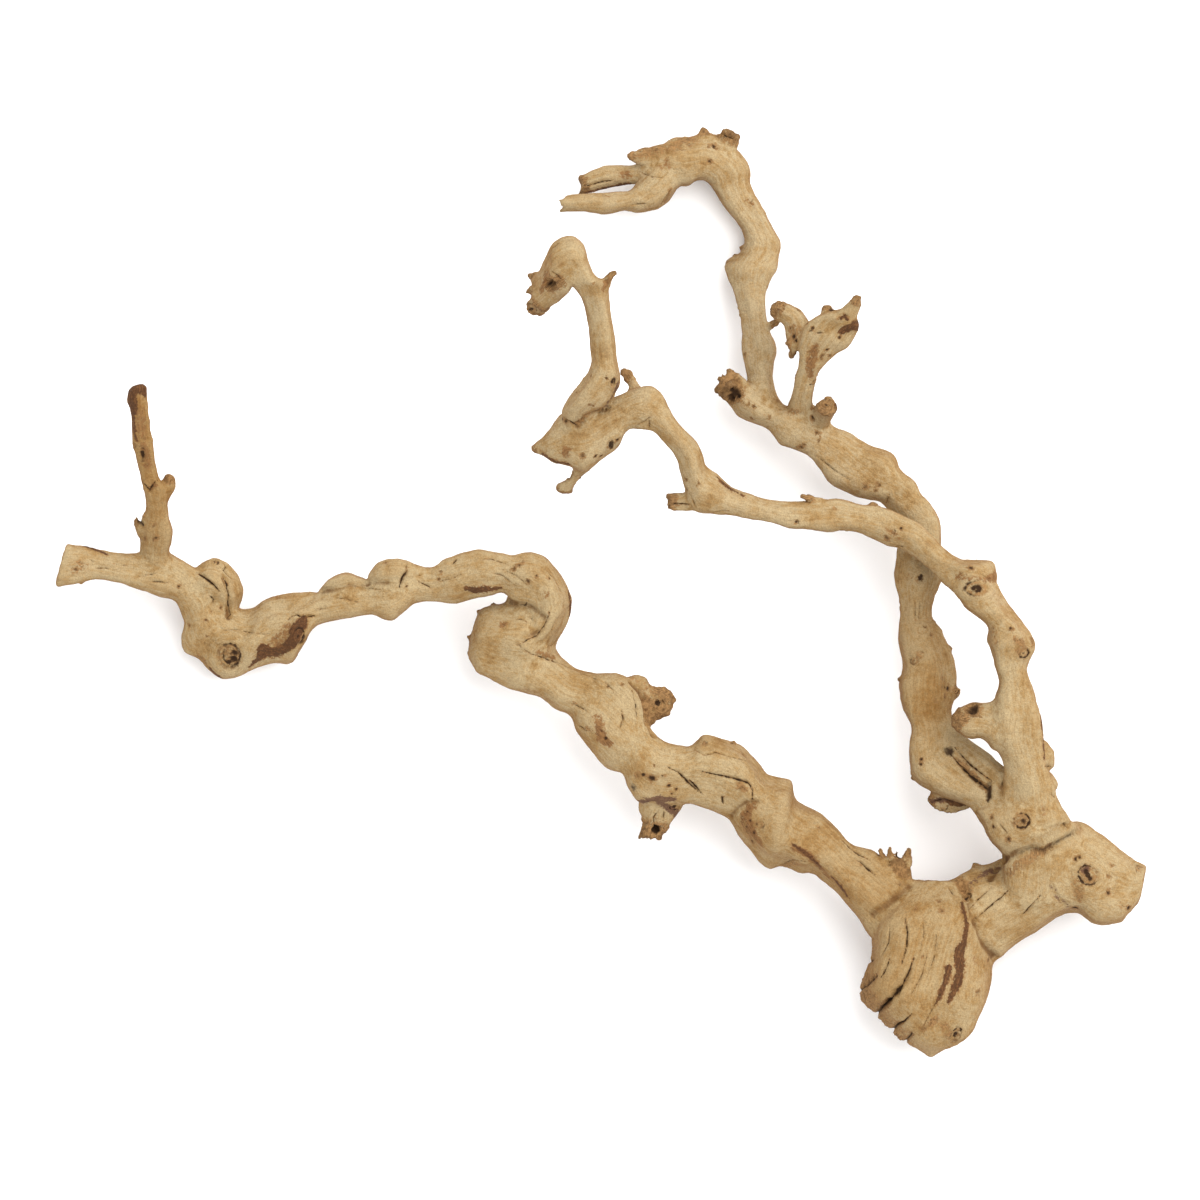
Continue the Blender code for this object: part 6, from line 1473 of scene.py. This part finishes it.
def thinOut(mesh, keep):
    # fewer triangles where the wood is plain
    holder = newHolder("thinning", mesh)
    group = holder.vertex_groups.new(name="keep")
    group.add(np.flatnonzero(keep).tolist(), 1.0, "REPLACE")
    triangles = sum(len(p.vertices) - 2 for p in mesh.polygons)
    print("triangles before thinning", triangles, "kept vertices", int(keep.sum()))
    decimate = holder.modifiers.new("fewerTriangles", "DECIMATE")
    decimate.ratio = woodShape["triangles"] / triangles
    decimate.use_collapse_triangulate = True
    decimate.vertex_group = "keep"
    decimate.invert_vertex_group = True
    decimate.vertex_group_factor = 0.4
    return evaluatedMesh(holder)


def dropSlivers(bm):
    # keeps the one large body
    unseen = set(bm.verts)
    bodies = []
    while unseen:
        front = [unseen.pop()]
        body = set(front)
        while front:
            for edge in front.pop().link_edges:
                for other in edge.verts:
                    if other in unseen:
                        unseen.remove(other)
                        body.add(other)
                        front.append(other)
        bodies.append(body)
    bodies.sort(key=len)
    bmesh.ops.delete(bm, geom=[v for body in bodies[:-1] for v in body], context="VERTS")


def standOnFeet(mesh):
    # cuts the low points level with the floor and centres the wood over the frame's own box
    bm = bmesh.new()
    bm.from_mesh(mesh)
    dropSlivers(bm)
    bmesh.ops.bisect_plane(
        bm, geom=bm.verts[:] + bm.edges[:] + bm.faces[:], dist=1e-7,
        plane_co=(0, 0, 0), plane_no=(0, 0, 1), clear_inner=True)
    bmesh.ops.holes_fill(bm, edges=[e for e in bm.edges if e.is_boundary])
    bmesh.ops.triangulate(bm, faces=bm.faces)
    bmesh.ops.recalc_face_normals(bm, faces=bm.faces)
    xs = [v.co.x for v in bm.verts]
    ys = [v.co.y for v in bm.verts]
    low, high = cadBox
    right = (low[0] + high[0] - min(xs) - max(xs)) / 2
    back = (low[1] + high[1] - min(ys) - max(ys)) / 2
    bmesh.ops.translate(bm, verts=bm.verts, vec=Vector((right, back, 0)))
    bm.to_mesh(mesh)
    bm.free()


# What a user would change about the finish of the wood; lengths in drawing millimetres
woodFinish = {
    "cream": (0.338, 0.250, 0.134),
    "tan": (0.264, 0.159, 0.060),
    "shade": (0.182, 0.093, 0.030),
    # painted shade in creases, with the dirt that gathers there
    "hollow": (0.110, 0.049, 0.015),
    # painted shade, warm, for the flanks
    "warmFlankShade": (0.225, 0.110, 0.044),
    "flankShade": (0.74, 0.60, 0.45),        # painted shade: multiplies the wood where it falls away to the sides
    "browner": (0.80, 0.68, 0.52),      # and where it is brown all over
    "paler": (1.06, 1.10, 1.20),
    "brown": (0.262, 0.142, 0.054),
    "brownDark": (0.082, 0.036, 0.012),
    "red": (0.210, 0.103, 0.036),
    "redDark": (0.100, 0.041, 0.014),
    "purple": (0.120, 0.060, 0.034),
    "purpleDark": (0.060, 0.026, 0.017),
    "bark": (0.056, 0.022, 0.008),
    "barkPale": (0.135, 0.058, 0.020),
    "dark": (0.026, 0.012, 0.005),
    "crack": (0.030, 0.015, 0.006),
    "patchSize": 18,
    "blotchSize": 3.6,
    "streakLength": 26,
    "streakWidth": 1.5,
    "fibreLength": 16,
    "fibreWidth": 0.55,
    "speckSize": 0.75,
    "gritScale": 0.6,       # per millimetre
    "roughness": 0.88,
    "barkRoughness": 0.75,
    "sheen": 0.12,
    "bumpDepth": 0.0008,
}


class Nodes:
    # short ways to add and join shader nodes
    def __init__(self, tree):
        self.tree = tree

    def add(self, kind, **settings):
        node = self.tree.nodes.new(kind)
        for name, value in settings.items():
            setattr(node, name, value)
        return node

    def put(self, socket, value):
        if isinstance(value, bpy.types.NodeSocket):
            self.tree.links.new(value, socket)
        elif isinstance(value, tuple) and len(value) == 3 and socket.type == "RGBA":
            socket.default_value = (*value, 1)
        else:
            socket.default_value = value

    def math(self, operation, a, b=0.0, clamp=False):
        node = self.add("ShaderNodeMath", operation=operation, use_clamp=clamp)
        self.put(node.inputs[0], a)
        self.put(node.inputs[1], b)
        return node.outputs[0]

    def ramp(self, value, low, high, newLow=0.0, newHigh=1.0):
        node = self.add("ShaderNodeMapRange", interpolation_type="SMOOTHSTEP")
        for name, amount in (("Value", value), ("From Min", low), ("From Max", high),
                             ("To Min", newLow), ("To Max", newHigh)):
            self.put(node.inputs[name], amount)
        return node.outputs[0]

    def blend(self, *parts):
        total = None
        for value, share in parts:
            term = self.math("MULTIPLY", value, share)
            total = term if total is None else self.math("ADD", total, term)
        return total

    def mix(self, share, a, b, blend="MIX"):
        node = self.add("ShaderNodeMix", data_type="RGBA", blend_type=blend)
        self.put(node.inputs[0], share)
        self.put(node.inputs[6], a)
        self.put(node.inputs[7], b)
        return node.outputs[2]

    def scaled(self, vector, sizes):
        node = self.add("ShaderNodeVectorMath", operation="MULTIPLY")
        self.put(node.inputs[0], vector)
        node.inputs[1].default_value = sizes
        return node.outputs[0]

    def noise(self, vector, detail=3.0, roughness=0.55, distortion=0.0):
        node = self.add("ShaderNodeTexNoise")
        self.put(node.inputs["Vector"], vector)
        node.inputs["Scale"].default_value = 1
        node.inputs["Detail"].default_value = detail
        node.inputs["Roughness"].default_value = roughness
        node.inputs["Distortion"].default_value = distortion
        return node.outputs["Fac"]

    def attribute(self, name, vector=False):
        node = self.add("ShaderNodeAttribute", attribute_name=name)
        return node.outputs["Vector" if vector else "Fac"]


def grainGroup():
    # masks that follow the wood: broad patches, streaks and fibres along the grain, blotches, specks
    group = bpy.data.node_groups.new("blastedGrain", "ShaderNodeTree")
    for name in ("Grain", "Place"):
        group.interface.new_socket(name, in_out="INPUT", socket_type="NodeSocketVector")
    group.interface.new_socket("Steady", in_out="INPUT", socket_type="NodeSocketFloat")
    for name in ("Patches", "Streaks", "Fibres", "Blotches", "Specks"):
        group.interface.new_socket(name, in_out="OUTPUT", socket_type="NodeSocketFloat")
    n = Nodes(group)
    source = n.add("NodeGroupInput")
    result = n.add("NodeGroupOutput")
    grain, place, steady = (source.outputs[name] for name in ("Grain", "Place", "Steady"))

    def even(size, detail, roughness):
        return n.noise(n.scaled(place, (1 / woodFinish[size],) * 3), detail, roughness)

    def along(length, width, plain):
        fine = 1 / woodFinish[width]
        lines = n.noise(n.scaled(grain, (1 / woodFinish[length], fine, fine)), 3, 0.6, 0.25)
        return n.math("ADD", plain, n.math("MULTIPLY", n.math("SUBTRACT", lines, plain), steady))

    blotches = even("blotchSize", 3, 0.6)
    n.put(result.inputs["Patches"], even("patchSize", 3, 0.55))
    n.put(result.inputs["Streaks"], along("streakLength", "streakWidth", blotches))
    n.put(result.inputs["Fibres"], along("fibreLength", "fibreWidth", blotches))
    n.put(result.inputs["Blotches"], blotches)
    n.put(result.inputs["Specks"], even("speckSize", 2, 0.7))
    return group


def dimmed(n, colour, lightness):
    node = n.add("ShaderNodeVectorMath", operation="SCALE")
    n.put(node.inputs[0], colour)
    n.put(node.inputs["Scale"], lightness)
    return node.outputs[0]


def tinted(n, share, colour, tint):
    return n.mix(share, colour, n.mix(1.0, colour, woodFinish[tint], "MULTIPLY"))


def woodMaterial():
    wood = bpy.data.materials.new("sandblastedGrapewood")
    wood.use_nodes = True
    n = Nodes(wood.node_tree)
    shader = wood.node_tree.nodes["Principled BSDF"]
    place = n.scaled(n.add("ShaderNodeTexCoord").outputs["Object"], (1000, 1000, 1000))
    pattern = n.add("ShaderNodeGroup")
    pattern.node_tree = grainGroup()
    n.put(pattern.inputs["Grain"], n.attribute("grain", vector=True))
    n.put(pattern.inputs["Place"], place)
    n.put(pattern.inputs["Steady"], n.attribute("steady"))
    patches, streaks, fibres, blotches, specks = (
        pattern.outputs[name] for name in ("Patches", "Streaks", "Fibres", "Blotches", "Specks"))

    # blasted wood: tan to cream, browner or paler by limb, paler on ridges from blasting wear and a painted
    # highlight, browner in creases from dirt and painted shade, and painted shade on the flanks
    tone = n.blend((patches, 0.45), (streaks, 0.3), (blotches, 0.25))
    colour = n.mix(n.ramp(tone, 0.30, 0.46), woodFinish["shade"], woodFinish["tan"])
    colour = n.mix(n.ramp(tone, 0.40, 0.60), colour, woodFinish["cream"])
    bend = n.attribute("bend")
    # ridges paler: blasting wear and a painted highlight
    colour = n.mix(n.ramp(bend, -0.7, -0.1, 0.5, 0), colour, woodFinish["cream"])
    tan = n.attribute("tan")
    colour = tinted(n, n.ramp(tan, 0, 1), colour, "browner")
    colour = tinted(n, n.ramp(tan, -1, 0, 1, 0), colour, "paler")
    side = n.attribute("side")
    # painted warm shade on the flanks, broken into patches
    warmFlankShade = n.math("MULTIPLY", n.ramp(patches, 0.42, 0.62), n.ramp(side, 0.12, 0.6, 0.0, 0.5))
    colour = n.mix(warmFlankShade, colour, woodFinish["warmFlankShade"])
    # creases darkened: painted shade together with dirt
    colour = n.mix(n.ramp(bend, 0.12, 1.0, 0.0, 0.85), colour, woodFinish["hollow"])
    # painted shade on the flanks, deeper as the surface turns away from upward
    colour = tinted(n, n.ramp(side, 0.15, 0.5, 0, 0.75), colour, "flankShade")
    grit = n.noise(n.scaled(place, (woodFinish["gritScale"],) * 3), 3, 0.65)
    speckled = n.ramp(specks, 0.25, 0.75, 0.80, 1.17)
    lightness = n.math("MULTIPLY", speckled, n.ramp(fibres, 0.3, 0.7, 0.95, 1.04))
    lightness = n.math("MULTIPLY", lightness, n.ramp(grit, 0.3, 0.7, 0.93, 1.06))
    colour = dimmed(n, colour, lightness)
    offLine = n.math("ABSOLUTE", n.math("SUBTRACT", streaks, 0.44))
    check = n.math("SUBTRACT", 1.0, n.ramp(offLine, 0.0, 0.018))
    check = n.math("MULTIPLY", check, n.ramp(patches, 0.50, 0.62, 0, 0.34))
    colour = n.mix(n.math("MULTIPLY", check, n.attribute("steady")), colour, woodFinish["brownDark"])

    # stains, some of them painted shade in creases and crotches, broken ends, bark and cracks, each of two
    # tones and with an edge broken up by grit
    uneven = n.math("SUBTRACT", n.blend((grit, 0.6), (blotches, 0.4)), 0.5)
    fibrous = n.blend((fibres, 0.55), (grit, 0.45))
    for name in ("brown", "red", "purple"):
        stain = n.mix(n.ramp(fibrous, 0.38, 0.60), woodFinish[name + "Dark"], woodFinish[name])
        amount = n.math("ADD", n.attribute(name), n.math("MULTIPLY", uneven, 3.0))
        present = n.ramp(n.attribute(name), 0.02, 0.2)
        amount = n.math("MULTIPLY", n.ramp(amount, 0.08, 0.46, 0, 0.92), present)
        colour = n.mix(amount, colour, stain)
    combed = n.math("MULTIPLY", n.math("SUBTRACT", fibres, 0.5), 0.7)
    edge = n.math("ADD", n.math("MULTIPLY", uneven, 1.7), combed)
    bark = n.ramp(n.math("ADD", n.attribute("bark"), edge), 0.36, 0.60)
    barkTone = n.mix(n.ramp(fibrous, 0.44, 0.66), woodFinish["bark"], woodFinish["barkPale"])
    colour = n.mix(n.math("MULTIPLY", bark, 0.94), colour, barkTone)
    dark = n.math("ADD", n.attribute("dark"), n.math("MULTIPLY", uneven, 1.0))
    present = n.ramp(n.attribute("dark"), 0.02, 0.12)
    dark = n.math("MULTIPLY", n.ramp(dark, 0.08, 0.75, 0, 0.96), present)
    colour = n.mix(dark, colour, woodFinish["dark"])
    colour = n.mix(n.ramp(n.attribute("crack"), 0.25, 0.85), colour, woodFinish["crack"])
    n.put(shader.inputs["Base Color"], colour)
    roughness = n.ramp(bark, 0, 1, woodFinish["roughness"], woodFinish["barkRoughness"])
    n.put(shader.inputs["Roughness"], roughness)
    shader.inputs["Specular IOR Level"].default_value = woodFinish["sheen"]
    shader.inputs["Metallic"].default_value = 0

    height = n.blend((fibres, 0.3), (specks, 0.5), (grit, 1.0))
    bump = n.add("ShaderNodeBump")
    bump.inputs["Strength"].default_value = 0.8
    bump.inputs["Distance"].default_value = woodFinish["bumpDepth"]
    n.put(bump.inputs["Height"], height)
    n.put(shader.inputs["Normal"], bump.outputs[0])
    return wood




def markedSurface(mesh, plans, tree=None, grain=None):
    # the wood with every crack, knot, pit and patch cut and painted on it
    wood = Surface(mesh)
    if tree is not None:
        wood.tree = tree
        wood.grain = grain.copy()
    markFromAbove(wood)
    markHiddenSides(wood, plans)
    return wood


def ridgesAndHollows(mesh, edges, degree):
    # one in a full hollow, minus one on a full ridge
    places = readPlaces(mesh) / mm
    smooth = places.copy()
    for _ in range(woodShape["bendRounds"]):
        smooth = neighbourMean(smooth, edges, degree)
    lift = np.einsum("ij,ij->i", smooth - places, readNormals(mesh))
    return np.clip(lift / woodShape["fullBend"], -1, 1)


def growWood():
    plans = [sectionFrames(plan[0], woodShape["fluteShift"] * k) for k, plan in enumerate(limbPlan)]
    limbs = [loftLimb(sections, *plan[1:5]) for sections, plan in zip(plans, limbPlan)]
    mesh = growTogether(limbs)
    print("wood grown together,", len(mesh.vertices), "vertices")
    fillCrotches(mesh)
    grainMap = GrainMap(plans)
    roughen(mesh, grainMap)
    print("crotches filled and grain raised")

    first = markedSurface(mesh, plans)
    mesh = refineNear(mesh, detailFlags(first))
    print("refined near the marks,", len(mesh.vertices), "vertices")
    grain, limb = grainMap.read(readPlaces(mesh) / mm)
    wood = markedSurface(mesh, plans, first.tree, grain)
    paintTips(wood, limb, grain, plans)
    paintTones(wood)
    wood.sunk -= markShape["barkHeight"] * np.clip((wood.masks["bark"] - 0.4) / 0.2, 0, 1)
    writePlaces(mesh, (wood.points - wood.normals * wood.sunk[:, None]) * mm)
    print("cracks, knots, pits and bark marked")

    edges = readEdges(mesh)
    degree = vertexDegree(mesh, edges)
    # bend places the painted highlight on ridges and the painted shade in creases
    addAttribute(mesh, "bend", ridgesAndHollows(mesh, edges, degree))
    addAttribute(mesh, "grain", wood.grain)
    addAttribute(mesh, "steady", steadiness(mesh, limb))
    # how far the surface turns from upward, which places the painted shade on the flanks
    addAttribute(mesh, "side", np.clip(1 - wood.normals[:, 2], 0, 2) / 2)
    for name in ("brown", "red", "purple", "bark", "dark", "crack", "tan"):
        addAttribute(mesh, name, wood.masks[name])
    mesh = thinOut(mesh, sharpestSpots(wood, edges, degree))
    standOnFeet(mesh)
    mesh.name = "grapewoodLimb"
    mesh.materials.clear()
    mesh.materials.append(woodMaterial())
    mesh.shade_smooth()
    mesh.calc_loop_triangles()
    print("wood finished,", len(mesh.loop_triangles), "triangles")
    limbObject = newHolder("grapewoodLimb", mesh)
    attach(limbObject, "root")
    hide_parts("grapewood")
    return limbObject


# What a user would change about the view and the light; the photograph is 1200 pixels square
studio = {
    "frameWidth": 0.672,            # metres across the picture at the wood
    "cameraHeight": 24,
    "aim": (-0.0005, -0.0045),      # the point of the plan in the middle of the picture
    "floorSize": 120,
    "floorColour": (0.96, 0.96, 0.96),
    "sunStrength": 3.1,
    "sunAngle": 60,
    "sunTurn": (30, 26),            # lean from upright towards the right and towards the back
    "skyStrength": 1.3,
}


def setStage():
    scene = bpy.context.scene
    scene.view_settings.view_transform = "Standard"
    bm = bmesh.new()
    bmesh.ops.create_grid(bm, x_segments=1, y_segments=1, size=studio["floorSize"] / 2)
    mesh = bpy.data.meshes.new("floor")
    bm.to_mesh(mesh)
    bm.free()
    floor = newHolder("floor", mesh)
    paper = bpy.data.materials.new("palePaper")
    paper.use_nodes = True
    shader = paper.node_tree.nodes["Principled BSDF"]
    shader.inputs["Base Color"].default_value = (*studio["floorColour"], 1)
    shader.inputs["Roughness"].default_value = 0.9
    shader.inputs["Specular IOR Level"].default_value = 0.1
    mesh.materials.append(paper)

    world = bpy.data.worlds.new("studioSky")
    scene.world = world
    world.use_nodes = True
    world.node_tree.nodes["Background"].inputs["Color"].default_value = (1, 1, 1, 1)
    world.node_tree.nodes["Background"].inputs["Strength"].default_value = studio["skyStrength"]

    sun = bpy.data.lights.new("softKey", "SUN")
    sun.energy = studio["sunStrength"]
    sun.angle = math.radians(studio["sunAngle"])
    key = bpy.data.objects.new("softKey", sun)
    scene.collection.objects.link(key)
    right, back = (math.tan(math.radians(a)) for a in studio["sunTurn"])
    key.rotation_mode = "QUATERNION"
    key.rotation_quaternion = Vector((right, back, 1)).to_track_quat("Z", "Y")

    camera = bpy.data.cameras.new("overhead")
    camera.lens = camera.sensor_width * studio["cameraHeight"] / studio["frameWidth"]
    camera.clip_end = 100
    holder = bpy.data.objects.new("overhead", camera)
    scene.collection.objects.link(holder)
    holder.location = (*studio["aim"], studio["cameraHeight"])
    scene.camera = holder
    print("floor, light and camera set")


setStage()
growWood()
